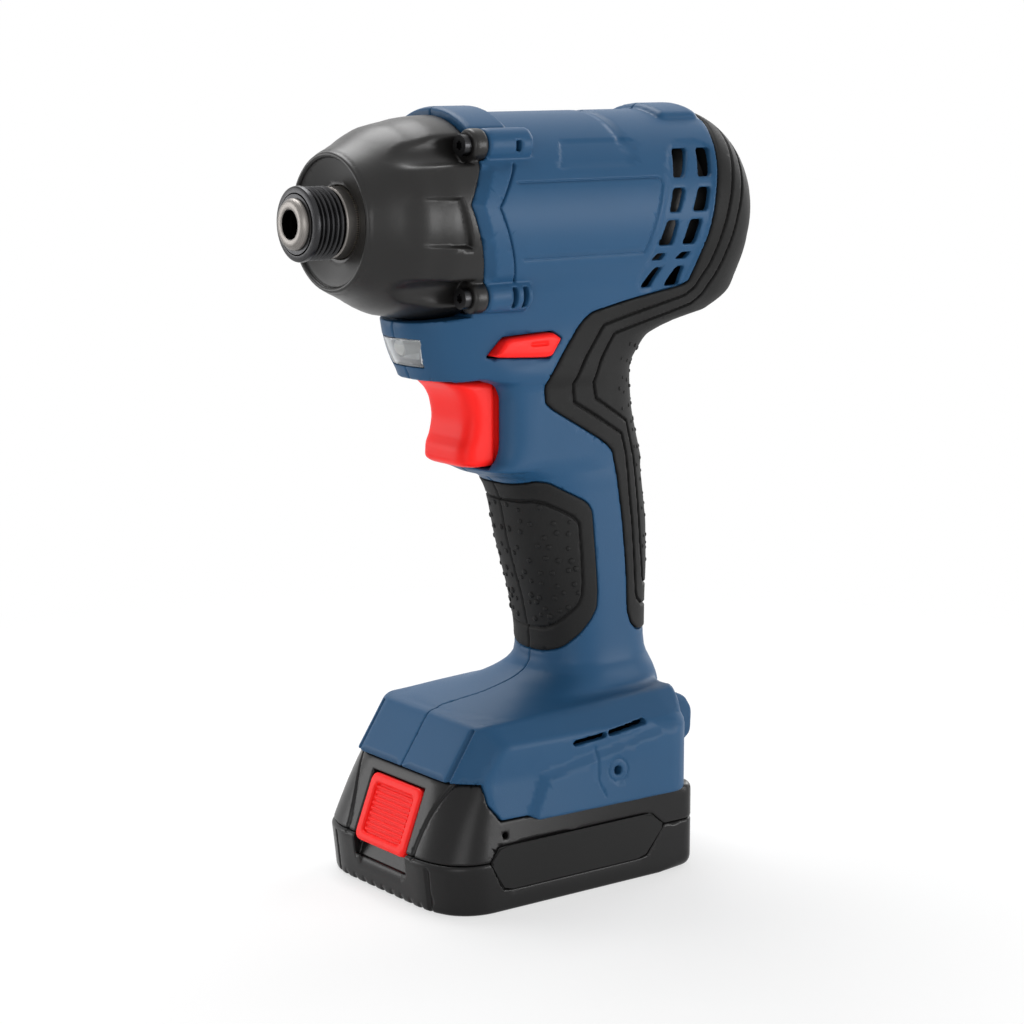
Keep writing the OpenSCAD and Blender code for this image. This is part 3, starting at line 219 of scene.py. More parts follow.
def turnedMetal(name, light, dark, rough, bore=None):
    made = Finish(name, {"Metallic": 1.0})
    rings = made.node("ShaderNodeTexWave", {"wave_type": "BANDS", "bands_direction": "X"},
                      {"Vector": made.place, "Scale": 900.0, "Distortion": 3.0, "Detail": 3.0})
    broad = made.noise(160.0, 3.0)
    tone = made.mix(rings * 0.4 + broad * 0.6, rgb(*dark), rgb(*light))
    if bore:
        # painted shade: blackened inside this radius of the tool's axis, standing for the dark depth of the
        # socket
        across = made.node("ShaderNodeVectorMath", {"operation": "MULTIPLY_ADD"},
                           {0: made.place, 1: (0.0, 1.0, 1.0), 2: (0.0, 0.0, -tool["axis"] * mm)})
        away = made.node("ShaderNodeVectorMath", {"operation": "LENGTH"}, {0: across}, out=1)
        limits = {0: away, 1: bore * mm, 2: (bore + 0.2) * mm, 3: 1.0, 4: 0.0}
        inside = made.node("ShaderNodeMapRange", None, limits)
        tone = made.mix(inside, tone, rgb(*paintedSocketShade))
    made.feed("Base Color", tone)
    made.feed("Roughness", rings * 0.12 + broad * 0.1 + rough)
    made.bump(rings, 0.25, 0.03)
    return made.material


def frosted(name, light, dark):
    made = Finish(name, {"Transmission Weight": 0.9, "IOR": 1.49})
    haze = made.noise(700.0, 3.0)
    made.feed("Base Color", made.mix(haze, rgb(*dark), rgb(*light)))
    made.feed("Roughness", haze * 0.16 + 0.1)
    made.bump(haze, 0.3, 0.1)
    return made.material


finishes = {slot: grained(*look) for slot, look in grainLooks.items()}
for slot, look in metalLooks.items():
    finishes[slot] = turnedMetal(*look, bore=tool["socketR"] if slot == "anvil_steel" else None)
finishes["clear_lens"] = frosted("frosted_lens", (0.80, 0.82, 0.84), (0.66, 0.69, 0.72))
print("finishes made:", len(finishes))


# Fields: signed distances in millimetres on a block of samples, meshed where they cross zero
class Block:
    def __init__(self, low, high, step):
        self.step = step * coarse
        self.low = np.array(low, float)
        spans = [np.arange(a, b + self.step, self.step, dtype=np.float32) for a, b in zip(low, high)]
        self.x, self.y, self.z = spans[0][:, None, None], spans[1][None, :, None], spans[2][None, None, :]
        self.side = np.abs(self.y)
        self.shape = tuple(len(s) for s in spans)

    def area(self, points):
        return outline(points, self.x, self.z)

    def line(self, points):
        return strand(points, self.x, self.z)

    def ring(self, x, z):
        return np.hypot(self.x - x, self.z - z)

    def axisDistance(self):
        return np.sqrt(self.y ** 2 + (self.z - tool["axis"]) ** 2)


def roundMax(a, b, r):
    h = np.maximum(r - np.abs(a - b), 0)
    return np.maximum(a, b) + h * h / (4 * r)


def roundMin(a, b, r):
    return -roundMax(-a, -b, r)


def cut(a, b, r=0.4):
    return roundMax(a, -b, r)


def meet(first, *others):
    for other in others:
        first = np.maximum(first, other)
    return first


def merge(first, *others):
    for other in others:
        first = np.minimum(first, other)
    return first


def span(value, low, high):
    return np.maximum(low - value, value - high)


def ramp(value, start, run):
    return np.clip((value - start) / run, 0, 1)


def within(distance, soft):
    return np.clip(0.5 - distance / soft, 0, 1)


def dent(distance, half, depth):
    t = np.clip(1 - distance / half, 0, 1)
    return depth * t * t * (3 - 2 * t)


def roundCorner(u, v, r):
    return np.hypot(np.maximum(u, 0), np.maximum(v, 0)) + np.minimum(np.maximum(u, v), 0) - r


def facet(first, second, rise, run, scale):
    return (first * rise + second * run) / scale


def strand(points, across, up):
    best = np.float32(1e6)
    for (ax, az), (bx, bz) in zip(points, points[1:]):
        ex, ez = bx - ax, bz - az
        t = np.clip(((across - ax) * ex + (up - az) * ez) / (ex * ex + ez * ez), 0, 1)
        best = np.minimum(best, np.sqrt((across - ax - t * ex) ** 2 + (up - az - t * ez) ** 2))
    return best


def outline(points, across, up):
    ring = points + points[:1]
    inside = np.zeros(np.broadcast(across, up).shape, bool)
    for (ax, az), (bx, bz) in zip(ring, ring[1:]):
        if az != bz:
            inside ^= ((az > up) != (bz > up)) & (across < (bx - ax) * (up - az) / (bz - az) + ax)
    far = strand(ring, across, up)
    return np.where(inside, -far, far).astype(np.float32)


def soften(points, share=0.2, passes=2):
    for _ in range(passes):
        made = []
        for (ax, az), (bx, bz) in zip(points, points[1:] + points[:1]):
            dx, dz = (bx - ax) * share, (bz - az) * share
            made += [(ax + dx, az + dz), (bx - dx, bz - dz)]
        points = made
    return points


def follow(places, values, at):
    # a curve through the values that doesn't overshoot them
    p, v = np.array(places, float), np.array(values, float)
    h = np.diff(p)
    s = np.diff(v) / h
    m = np.concatenate([s[:1], np.zeros(len(s) - 1), s[-1:]])
    for i in range(1, len(s)):
        if s[i - 1] * s[i] > 0:
            w1, w2 = 2 * h[i] + h[i - 1], h[i] + 2 * h[i - 1]
            m[i] = (w1 + w2) / (w1 / s[i - 1] + w2 / s[i])
    k = np.clip(np.searchsorted(p, at) - 1, 0, len(p) - 2)
    t = np.clip((at - p[k]) / h[k], 0, 1)
    a, b = (1 + 2 * t) * (1 - t) ** 2, t * (1 - t) ** 2
    c, d = t * t * (3 - 2 * t), t * t * (t - 1)
    return (a * v[k] + b * h[k] * m[k] + c * v[k + 1] + d * h[k] * m[k + 1]).astype(np.float32)


def ovalLoft(stations, b):
    rows = list(zip(*stations))
    heights = b.z.ravel()
    front, back, half, power = (follow(rows[0], rows[i], heights)[None, None, :] for i in range(1, 5))
    middle, reach = (front + back) / 2, (back - front) / 2
    u, v = np.abs(b.x - middle) / reach + 1e-4, b.side / half + 1e-4
    un, vn = u ** (power - 1), v ** (power - 1)
    total = un * u + vn * v
    g = total ** (1 / power)
    steep = np.sqrt((un / reach) ** 2 + (vn / half) ** 2) * g / total
    flat = (g - 1) / steep
    return flat / np.sqrt(1 + np.gradient(flat, b.step, axis=2) ** 2)    # true distance where the loft flares


def sampleField(field, p):
    p = np.clip(p, 0, np.array(field.shape) - 1.001)
    i = p.astype(int)
    t = p - i
    total = 0
    for corner in range(8):
        o = np.array([corner >> 2 & 1, corner >> 1 & 1, corner & 1])
        w = np.prod(np.where(o, t, 1 - t), axis=1)
        j = i + o
        total = total + w * field[j[:, 0], j[:, 1], j[:, 2]]
    return total


def fieldNormals(field, p):
    slopes = []
    for axis in range(3):
        e = np.zeros(3)
        e[axis] = 0.6
        slopes.append(sampleField(field, p + e) - sampleField(field, p - e))
    n = np.stack(slopes, axis=1)
    return n / np.maximum(np.linalg.norm(n, axis=1), 1e-9)[:, None]


def keptCorners(count, faces, least=60):
    # labels each loose shell, and keeps the corners of those with enough of them
    label = np.arange(count)
    ends = np.concatenate([faces[:, [0, 1]], faces[:, [1, 2]], faces[:, [2, 0]]])
    while True:
        low = np.minimum(label[ends[:, 0]], label[ends[:, 1]])
        before = label.copy()
        np.minimum.at(label, ends[:, 0], low)
        np.minimum.at(label, ends[:, 1], low)
        label = label[label]
        if np.array_equal(before, label):
            return np.bincount(label, minlength=count)[label] >= least


def addObject(name, mesh, material=None):
    if material is not None:
        mesh.materials.clear()
        mesh.materials.append(material)
    made = bpy.data.objects.new(name, mesh)
    scene.collection.objects.link(made)
    return made


def dress(piece, body, slot, *nodes):
    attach(piece, body)
    if nodes:
        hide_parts(*nodes)
    return piece


def castPiece(name, field, b, body, slot, node, flip=False, ease=0.04):
    band = 3 * b.step
    field = np.clip(field, -band, band).astype(np.float32)
    low = b.low.copy()
    if flip:
        field = np.ascontiguousarray(field[:, ::-1, :])
        low[1] = -(b.low[1] + (field.shape[1] - 1) * b.step)
    grid = openvdb.FloatGrid(band)
    grid.copyFromArray(field)
    points, threes, fours = grid.convertToPolygons(0.0, ease)
    corners = np.concatenate([threes, fours[:, [0, 1, 2]], fours[:, [0, 2, 3]]]).astype(int)
    keep = keptCorners(len(points), corners)
    threes, fours = threes[keep[threes[:, 0]]], fours[keep[fours[:, 0]]]
    index = np.cumsum(keep) - 1
    points, threes, fours = points[keep], index[threes], index[fours]
    normals = fieldNormals(field, points)
    mesh = bpy.data.meshes.new(name)
    loops = np.concatenate([threes.ravel(), fours.ravel()]).astype(np.int32)
    starts = np.concatenate([np.arange(len(threes)) * 3, len(threes) * 3 + np.arange(len(fours)) * 4])
    mesh.vertices.add(len(points))
    mesh.vertices.foreach_set("co", ((points * b.step + low) * mm).astype(np.float32).ravel())
    mesh.loops.add(len(loops))
    mesh.loops.foreach_set("vertex_index", loops)
    mesh.polygons.add(len(starts))
    mesh.polygons.foreach_set("loop_start", starts.astype(np.int32))
    mesh.update(calc_edges=True)
    mesh.validate()
    mesh.shade_smooth()
    mesh.normals_split_custom_set_from_vertices(normals.tolist())
    print(name, "triangles", len(threes) + 2 * len(fours))
    return dress(addObject(name, mesh, finishes[slot]), body, slot, node)


# Main forms of the tool, shared by the housing, the grips, the lens and the case
# height, front, back, half width and squareness
handleStations = [
    (49, -25.8, 44.5, 27.5, 4), (55, -23, 50, 25, 4), (57.5, -7, 53, 22.6, 3), (60.5, 4.8, 52.4, 21, 2.8),
    (63, 9, 51.4, 20, 2.6), (66, 10.5, 50.3, 18.7, 2.5), (70.8, 10.6, 49.6, 18.2, 2.5),
    (83.8, 8.4, 50, 18, 2.5), (94.6, 5.1, 50.7, 18, 2.5), (104.3, 2.2, 50.7, 18, 2.5),
    (119.1, -1.6, 49, 18.2, 2.5), (124.1, -5.2, 48.4, 18.4, 2.5), (127, -13, 48.7, 18.4, 2.6),
    (130, -15, 48, 18.4, 2.6), (134, -13, 46.8, 18.5, 2.6), (145, -12, 43.9, 19, 2.6),
    (156, -13, 43, 19.4, 2.6), (163, -14, 47.2, 19.8, 2.6), (166, -14, 50.2, 20, 2.6),
    (168, -14, 55, 20.2, 2.6), (170, -14, 61.6, 20.3, 2.7), (173, -14, 73.6, 20.7, 2.9),
    (180, -14, 82, 22.7, 3.2), (190, -14, 83, 25, 3.2),
]
lipStations = [
    (126, -12, 30, 17.6, 4), (128.5, -15.5, 30, 18.4, 5), (130, -14.6, 30, 18.6, 5),
    (132, -12.9, 30, 18.7, 5), (134.5, -11.8, 30, 18.8, 5), (138, -11.4, 30, 18.9, 5),
    (149.5, -11.4, 30, 19.2, 5), (152.5, -12.2, 30, 19.3, 5), (154.8, -13.8, 30, 19.4, 5),
    (156.5, -16.5, 30, 19.5, 5), (160, -18, 30, 19.6, 5),
]
chinStations = [
    (150, -32.2, 39, 19.3, 2.6), (158, -34.8, 40, 19.5, 2.6), (163, -37.4, 41, 19.8, 2.6),
    (168, -39.3, 42.5, 20.1, 2.6), (173, -40.4, 43.4, 21, 2.6), (180, -40.4, 44, 22.5, 2.6),
    (192, -39.4, 44, 25, 2.6),
]
rearGripEdge = [
    (67.7, 231.7), (64.7, 225.8), (61.9, 217.4), (59.3, 209.5), (57.3, 200.3), (55.3, 191.5), (54.6, 182.9),
    (52.5, 181.5), (33.1, 178.3), (15.4, 174.7), (1.5, 154.6), (2.2, 147.6), (28.8, 132.6), (30.9, 123.6),
    (33.3, 109.6), (35, 93.7), (35.5, 80.2), (37.1, 76.1), (40.8, 73.0), (150, 69.4), (150, 354), (70.2, 354),
]
frontGripEdge = [
    (-75, 122.3), (-3, 122.6), (-0.9, 123.1), (2, 124), (5.8, 123.4), (10.2, 121), (17.5, 117.3),
    (19.6, 115.7), (21.1, 113.3), (22.5, 100.2), (23.6, 88.5), (23.4, 83), (21.6, 79.4), (18.7, 75.5),
    (16.7, 73.3), (14.1, 70.5), (11.9, 69), (9.5, 67.6), (-75, 66.8),
]
jointEdge = [
    (-300, 500), (-26.4, 500), (-26.4, 220), (-32.4, 209.5), (-24.9, 187), (-24.9, -100), (-300, -100),
]
lugEdge = [(36, 33.5), (55.5, 33.8), (60.5, 37.5), (60.8, 45.5), (58, 49.8), (51, 53), (36, 54.6)]
# place along the tool and radius
caseStations = [
    (-61.5, 20.53), (-55.7, 23.23), (-51, 25.93), (-47, 27.53), (-42.3, 28.33), (-35.6, 29.63), (-21, 30.23),
]
chin = {"bottom": 156.9, "rise": 0.09, "start": -18.0}
grip = {"low": 49.0, "high": 190.0, "lipLow": 127.5, "lipHigh": 159.5}
base = {
    "front": -38.7, "knee": 38.6, "lean": 0.6646, "half": 37.0, "taperRun": 69.3, "shoulder": (36.6, 49.5),
    "corner": 24.0, "rear": (37.2, 29.0), "rearRound": 8.0, "top": 54.6, "topRise": 0.04, "topStart": -27.0,
    "bottom": 27.5, "lugHalf": 20.0, "panelProud": 1.5, "panelSide": 26.0, "panelTop": 53.0, "groove": 23.4,
}
pack = {
    "step": 0.42, "half": 37.0, "front": -47.2, "knee": 14.5, "rise": 23.8, "slope": 21.0, "undercut": 0.12,
    "taper": 4.6, "taperRear": 38.5, "taperRun": 69.0, "top": 38.3, "rear": (43.0, 31.0), "rearRound": 6.0,
    "parting": 15.8, "gap": 0.06, "wall": 2.2, "contacts": (-13.5, -4.5, 4.5, 13.5), "rails": (-30.4, 41.0),
    "railSteps": [(26.2, (25.7, 31.5)), (29.5, (31.5, 38.3))], "keyBack": (16.0, (3.3, 6.3), (-6.6, 22.0)),
    "roomTop": 25.0, "upperRoom": (24.0, (22.0, 34.0), (-28.0, 38.8)), "inlaySide": 35.6,
    "hole": (-25.2, 23.0), "holeR": 1.0, "holeSide": 33.6, "contactHalf": 1.5, "contactLow": 31.1,
    "contactFront": 10.0,
    "keyRooms": [(13.7, 4.3, (-4.5, 21.7), 0.4), (10.8, 3.6, (-8.5, -3.0), 0.8)],
}
bosses = {
    "out": 21.94, "radius": 4.8, "head": -29.2, "joint": -24.0, "end": -8.0, "slitHalf": 0.9,
    "slitSide": 22.5, "slits": [(-14.6, 181.8, 2.9), (-10.8, 181.8, 2.9), (-13.5, 225.5, 1.6)],
}
lens = {"middle": 165.0, "half": 4.15, "side": 8.6, "lean": 0.2, "room": 0.15, "back": -31.5, "wall": 2.0,
        "roomBack": -30.0}


def barrelForm(b):
    r = tool["rearRound"]
    return roundCorner(b.x - (tool["rear"] - r), b.axisDistance() - (tool["barrelR"] - r), r)


def chinForm(b):
    bottom = chin["bottom"] + chin["rise"] * np.minimum(b.x - chin["start"], 0)
    return roundMax(ovalLoft(chinStations, b), bottom - b.z, 1.8)


def handleForm(b):
    handle = meet(ovalLoft(handleStations, b), span(b.z, grip["low"], grip["high"]))
    # squared-off frame behind the trigger
    lip = roundMax(ovalLoft(lipStations, b), span(b.z, grip["lipLow"], grip["lipHigh"]), 2.0)
    return roundMin(roundMin(handle, lip, 2.0), meet(chinForm(b), b.z - grip["high"]), 4.5)


def packTaper(b, run):
    # the battery's sides and the foot draw in together towards the front
    return ramp(b.x, pack["taperRear"], -run) * pack["taper"] * ramp(b.z, pack["knee"], pack["rise"])


def footFront(b):
    return base["front"] + np.maximum(b.z - base["knee"], 0) * base["lean"]


def footForm(b):
    drawn = b.side + packTaper(b, base["taperRun"])
    shoulder = facet(drawn - base["shoulder"][0], b.z - base["shoulder"][1], 5.5, 5.9, 8.07)
    slope = facet(base["front"] - b.x, b.z - base["knee"], 16.4, 10.9, 19.69)
    corner = facet(footFront(b) - b.x, b.side - base["corner"], 8.4, 7.9, 12.8)
    rear = roundCorner(b.x - base["rear"][0], b.side - base["rear"][1], base["rearRound"])
    form = roundMax(roundMax(drawn - base["half"], rear, 0.6), shoulder, 1.2)
    form = roundMax(form, b.z - base["top"] - base["topRise"] * (b.x - base["topStart"]), 1.0)
    form = roundMax(form, roundMax(slope, corner, 1.6), 1.8)
    return roundMax(form, base["bottom"] - b.z, 0.35)


def bossRing(b):
    return np.hypot(b.side - bosses["out"], np.abs(b.z - tool["axis"]) - bosses["out"])


def bossForm(b, front, back, extra=0.0):
    return roundMax(bossRing(b) - bosses["radius"] - extra, span(b.x, front, back), 1.4)


def caseTurned(b):
    # radius against length, with the slope taken out
    x = b.x.ravel()
    radius = follow(*zip(*caseStations), x)
    stretch = np.sqrt(1 + np.gradient(radius, x) ** 2)
    skin = (b.axisDistance() - radius[:, None, None]) / stretch[:, None, None]
    return meet(skin, tool["front"] - b.x)


def lensEnds(b, room, r):
    tall = np.abs(b.z - lens["middle"]) - lens["half"] - room
    wide = b.side - lens["side"] - room - lens["lean"] * (b.z - lens["middle"])
    return roundMax(tall, wide, r) if r else meet(tall, wide)


# Housing halves and rubber grips, worked out once for the left and mirrored
housing = {
    "step": 0.42, "ease": 0.09, "seam": 0.5, "floor": 41.2, "band": 0.7, "bevel": 2.2, "bevelWidth": 3.2,
    "gripProud": 0.35, "gripGap": 0.22, "gripEdge": 0.9, "ventSide": 16.0, "fillet": 2.5, "rearFillet": 3.5,
    "pillarR": 3.9, "pilotR": 1.53, "shankR": 1.6, "headR": 3.2, "headSide": 9.0, "selectorSide": 9.0,
    "bandMiddle": 203.5, "bandHalf": 17.0, "topGroove": 28.8, "topGrooveLow": 222.0,
    "slitHalf": 0.85, "slitSide": 31.0,
    "screws": [(70.2, 219), (70.2, 189), (30, 165), (-27, 165), (12, 121.96), (33, 80.92), (-22, 48),
               (40, 47)],
}
collar = {"radius": 32.5, "front": -28.4, "back": -12.0, "half": 19.0, "slant": 30.7}
topBlock = {"radius": 32.3, "front": 49.8, "back": 66.2, "half": 13.5}
shelfUnderCase = {"high": 175.6, "rise": 0.11, "start": -28.0, "wall": 2.2, "back": -23.0, "top": 176.4}
hook = {"place": (16.4, 36.4), "radius": 1.4, "side": 32.0, "rim": 3.5}
railRoom = {"side": 29.8, "top": 38.6, "back": 41.3, "lip": 26.5, "lipTop": 31.2, "lipFront": -26.0}
triggerRoom = {"half": 12.4, "low": 129.1, "high": 156.5, "back": -4.0}
terminalRoom = {"front": 4.0, "back": 32.0, "half": 18.0, "top": 47.0}
# top, bottom, and the corners of the two vents in that row
ventRows = [
    (223, 214.6, (46.7, 52.7, 47.9, 43.6), (56.3, 61.6, 58.7, 53.3)),
    (211.5, 204.5, (42.8, 47.6, 44.8, 40.7), (52.8, 57.6, 55.6, 49.8)),
    (202, 194.5, (40, 44.5, 43.3, 37.6), (49, 54, 52.2, 47)),
    (192, 190, (38.1, 41.7, 40.6, 36.5), (47.7, 51.6, 50.1, 45.9)),
    (187.5, 181.5, (39.1, 42.4, 39.5, 35.6), (47.8, 51, 50.9, 44.8)),
]
ventShapes = [list(zip(corners, (top, top, low, low))) for top, low, *pair in ventRows for corners in pair]
ventField = [(44.5, 225), (63, 225), (58.5, 212), (53.6, 188), (52.4, 180), (33.4, 180), (35.2, 190),
             (38, 206)]
bandShape = [(-26.4, 221), (-32.4, 209.5), (-24.9, 186), (-14.1, 186), (-23.2, 208.3), (-14.8, 221)]
labelShape = [(5.6, 226.3), (33.7, 226.2), (28.9, 218.6), (0.8, 218.3)]
zigzag = [(-14.8, 220.2), (-23.2, 208.3), (-14.1, 186.4)]
labelEdge = [(-15.2, 215), (36.6, 215), (38, 214.4), (38.3, 213), (32.1, 192.7), (-12.9, 192.7)]
footPanel = [(-16.6, 20), (-16.4, 28.5), (-10.6, 39.4), (60, 53.6), (60, 20)]
hookLine = [(9, 44.2), (9, 34.1), (11.4, 29.2)]
footSlits = [[(2, 46.6), (12.6, 47.6)], [(14.8, 47.9), (27.6, 49.6)]]
packNose = [(-300, 20), (-26, 20), (-26, 27.8), (-29.8, 32.6), (-30.6, 38.6), (-300, 38.6)]
selectorShape = [(-18.9, 163.8), (-14.2, 169.2), (3, 170.0), (6.4, 168.0), (2.5, 162.4)]
outerLine = [
    (72.5, 229), (70, 222.4), (66.9, 214.5), (64.1, 206), (61.8, 197.3), (59.9, 187.3), (57.3, 180.5),
    (54, 178.2), (22.7, 171), (15.4, 160.6), (11.7, 153.8), (12.4, 148), (33, 136.4), (35.2, 129.9),
    (36.4, 117), (37.7, 107.6), (38.8, 93.5), (39.2, 86), (40, 83.6), (43.1, 80.9), (75, 78.6),
]
innerLine = [
    (76, 226), (73.2, 218.5), (71.2, 212.1), (67.8, 202.5), (65.6, 192.7), (64, 184), (61.4, 178),
    (58, 175.2), (27.2, 168), (22, 160), (19.6, 153.8), (20.8, 148.5), (35.6, 140), (39, 129.4),
    (40.6, 116.3), (41.8, 102.2), (43.2, 89.8), (44.4, 87.4), (75, 85),
]
gripLines = [outerLine, innerLine]
padLine = [
    (-20, 118.6), (-1.5, 117.1), (2.6, 117.6), (5.2, 117), (9.9, 114.7), (14.1, 112.3), (16.2, 110.1),
    (17.3, 100.7), (18.1, 91.4), (18, 86.8), (16.9, 84), (14.5, 81.3), (12.5, 78.5), (11, 76.4),
    (8.8, 75), (-20, 74.4),
]

half = Block((-42.5, -38.6, 25.6), (85, 1.3, 239), housing["step"])
side = half.side
joint = half.area(jointEdge)
barrel = barrelForm(half)
handle = handleForm(half)
foot = footForm(half)
# wider fillet where the handle meets the barrel's rear
rearBlend = housing["rearFillet"] * ramp(half.x, 52, 16)
plain = roundMin(roundMin(barrel, handle, housing["fillet"] + rearBlend), foot, 2.2)
hollow = meet(plain + tool["wall"], housing["floor"] - half.z)
ledge = half.z - shelfUnderCase["high"] - shelfUnderCase["rise"] * (half.x - shelfUnderCase["start"])
underCase = (half.x < shelfUnderCase["back"]) & (half.z < shelfUnderCase["top"])
hollow = meet(hollow, np.where(underCase, ledge + shelfUnderCase["wall"], -50))
print("main forms worked out", half.shape)


# barrel details: bevel at the joint, bosses, collar, rear block and the band across the top
def topPad(pad, edge):
    return roundMax(radius - pad["radius"], span(half.x, pad["front"], pad["back"]), edge)


def above(pad):
    return meet(tool["axis"] - half.z, side - pad["half"])


radius = half.axisDistance()
between = ramp(np.abs(half.z - housing["bandMiddle"]), housing["bandHalf"], -2)    # only between the bosses
barrel = barrel - housing["band"] * within(half.area(bandShape), 0.9) * between
barrel = barrel + housing["bevel"] * ramp(joint, housing["bevelWidth"], -housing["bevelWidth"]) * between
topGroove = dent(np.abs(half.x - housing["topGroove"]), 2.3, 0.6)
barrel = barrel + topGroove * ramp(half.z, housing["topGrooveLow"], 3)
slant = (radius - collar["slant"]) * 0.866 - (half.x - collar["front"]) * 0.5
collarForm = roundMax(roundMax(topPad(collar, 1.2), slant, 0.5), above(collar), 1.4)
blockForm = roundMax(topPad(topBlock, 3.0), above(topBlock), 1.8)
boss = bossForm(half, bosses["joint"], bosses["end"])
for x, z, high in bosses["slits"]:
    slit = meet(np.abs(half.x - x) - bosses["slitHalf"], np.abs(half.z - z) - high)
    boss = cut(boss, meet(slit, bosses["slitSide"] - side), 0.3)
barrel = meet(roundMin(roundMin(barrel, boss, 0.8), merge(collarForm, blockForm), 0.5), -joint)

# foot details: raised lower panel, corner groove, slits and the hook hole
panelEnds = ramp(side, base["panelSide"], 3) * ramp(half.z, base["panelTop"], -2)
foot = foot - ramp(half.area(footPanel), 0, -3) * base["panelProud"] * panelEnds
hookRing = half.ring(*hook["place"])
foot = foot + dent(np.abs(hookRing - hook["rim"]), 0.5, 0.3) * (side > 30)
foot = foot + dent(half.line(hookLine), 0.55, 0.4)
nearFront = (np.abs(half.x - footFront(half)) < 5) * (half.z < 53.2)
foot = foot + dent(np.abs(side - base["groove"]), 0.9, 1.3) * nearFront
body = roundMin(roundMin(barrel, handle, 1.6 + rearBlend), foot, 2.2)
body = roundMin(body, roundMax(half.area(soften(lugEdge, 0.14)), side - base["lugHalf"], 1.4), 1.5)
body = body + dent(half.line(zigzag), 0.55, 1.4) * (half.z > 185)
body = body + dent(half.line(labelEdge), 0.5, 0.6)
body = body + within(half.area(soften(labelShape, 0.05, 1)), 0.8) * 0.4 * (side > 12)
body = body + within(half.area(soften(ventField)), 1.2) * 0.5

# rooms cut into the shell, for what it holds and for the openings
rearShape = half.area(soften(rearGripEdge, 0.12))
frontShape = half.area(soften(frontGripEdge, 0.12))
gripBed = meet(merge(rearShape, frontShape) - housing["gripGap"], -(plain + tool["gripDepth"]))
shell = cut(meet(body, -hollow), gripBed, 0.3)
caseRoom = merge(meet(caseTurned(half) - 0.25, joint - 0.2),
                      bossForm(half, bosses["head"] - 1, bosses["joint"], 0.2))
shell = cut(shell, merge(caseRoom, meet(joint, -ledge)), 0.3)
vents = merge(*[half.area(soften(shape, 0.1, 1)) for shape in ventShapes])
shell = cut(shell, meet(vents, housing["ventSide"] - side), 0.5)
slideway = meet(side - railRoom["side"], half.z - railRoom["top"], half.x - railRoom["back"])
railLip = meet(railRoom["lip"] - side, half.z - railRoom["lipTop"], railRoom["lipFront"] - half.x)
shell = cut(shell, merge(meet(slideway, -railLip), half.area(packNose)), 0.5)
triggerHole = span(half.z, triggerRoom["low"], triggerRoom["high"])
shell = cut(shell, meet(side - triggerRoom["half"], triggerHole, half.x - triggerRoom["back"]), 0.7)
shell = cut(shell, meet(half.area(selectorShape) - 0.35, housing["selectorSide"] - side), 0.4)
shell = cut(shell, meet(lensEnds(half, lens["room"], 0), half.x - lens["roomBack"]), 0.3)
terminalHole = span(half.x, terminalRoom["front"], terminalRoom["back"])
shell = cut(shell, meet(terminalHole, side - terminalRoom["half"], half.z - terminalRoom["top"]), 0.3)
for line in footSlits:
    shell = cut(shell, meet(half.line(line) - housing["slitHalf"], housing["slitSide"] - side), 0.3)
shell = cut(shell, meet(hookRing - hook["radius"], hook["side"] - side), 0.3)

# pillars for the closing screws, with sunk heads on the right half
pillars, heads = np.float32(1e6), np.float32(1e6)
for x, z in housing["screws"]:
    ring = half.ring(x, z)
    sink = meet(ring - housing["headR"], housing["headSide"] - side)
    pillars = merge(pillars, meet(ring - housing["pillarR"], housing["pilotR"] - ring))
    heads = merge(heads, sink, ring - housing["shankR"])
leftShell = merge(shell, meet(pillars, plain + 1.5, 1.0 - side))

# grips stand a little proud, with rounded edges and scored lines
rearRubber = plain - housing["gripProud"]
for line in gripLines:
    rearRubber = rearRubber + dent(half.line(line), 0.6, 1.35)
frontRubber = plain - housing["gripProud"] - 0.15 * within(half.area(padLine), 1.0)
frontRubber = frontRubber + dent(half.line(padLine), 0.6, 1.2)
inner = -(plain + tool["gripDepth"] - 0.1)
rearRubber = meet(roundMax(rearRubber, rearShape + 0.1, housing["gripEdge"]), inner)
frontRubber = meet(roundMax(frontRubber, frontShape + 0.1, housing["gripEdge"]), inner)
halves = [
    ("housing", leftShell, "blue_plastic", "housing", housing["ease"]),
    ("rearGrip", rearRubber, "black_rubber", "rear_grip", 0.04),
    ("frontGrip", frontRubber, "black_rubber", "front_grip", 0.04),
]
for name, field, slot, node, ease in halves:
    for word in ("Left", "Right"):
        flip = word == "Right"
        made = roundMax(cut(field, heads, 0.3) if flip else field, half.y, housing["seam"])
        castPiece(name + word, made, half, "housing", slot, node + "_" + word.lower(), flip, ease)
print("housing and grips made")

# Hammer case: turned form with a dished face, flutes to the screws and a pocket on each side
case = {
    "step": 0.42, "dish": 2.6, "dishR": 20.0, "dishRun": 8.0, "beadR": 19.5, "beadX": -61.4, "bead": 0.85,
    "pocket": 1.9, "pocketFront": -54.0, "pocketRun": 20.0, "flute": 5.4, "shank": 2.1, "screwHead": 3.4,
    "spigotR": 27.8, "spigot": (-29.0, -2.6), "far": 99.0,
}
pocketEdge = [(-54, 211.8), (-35.4, 211.2), (-31.8, 197.2), (-52, 198.6)]
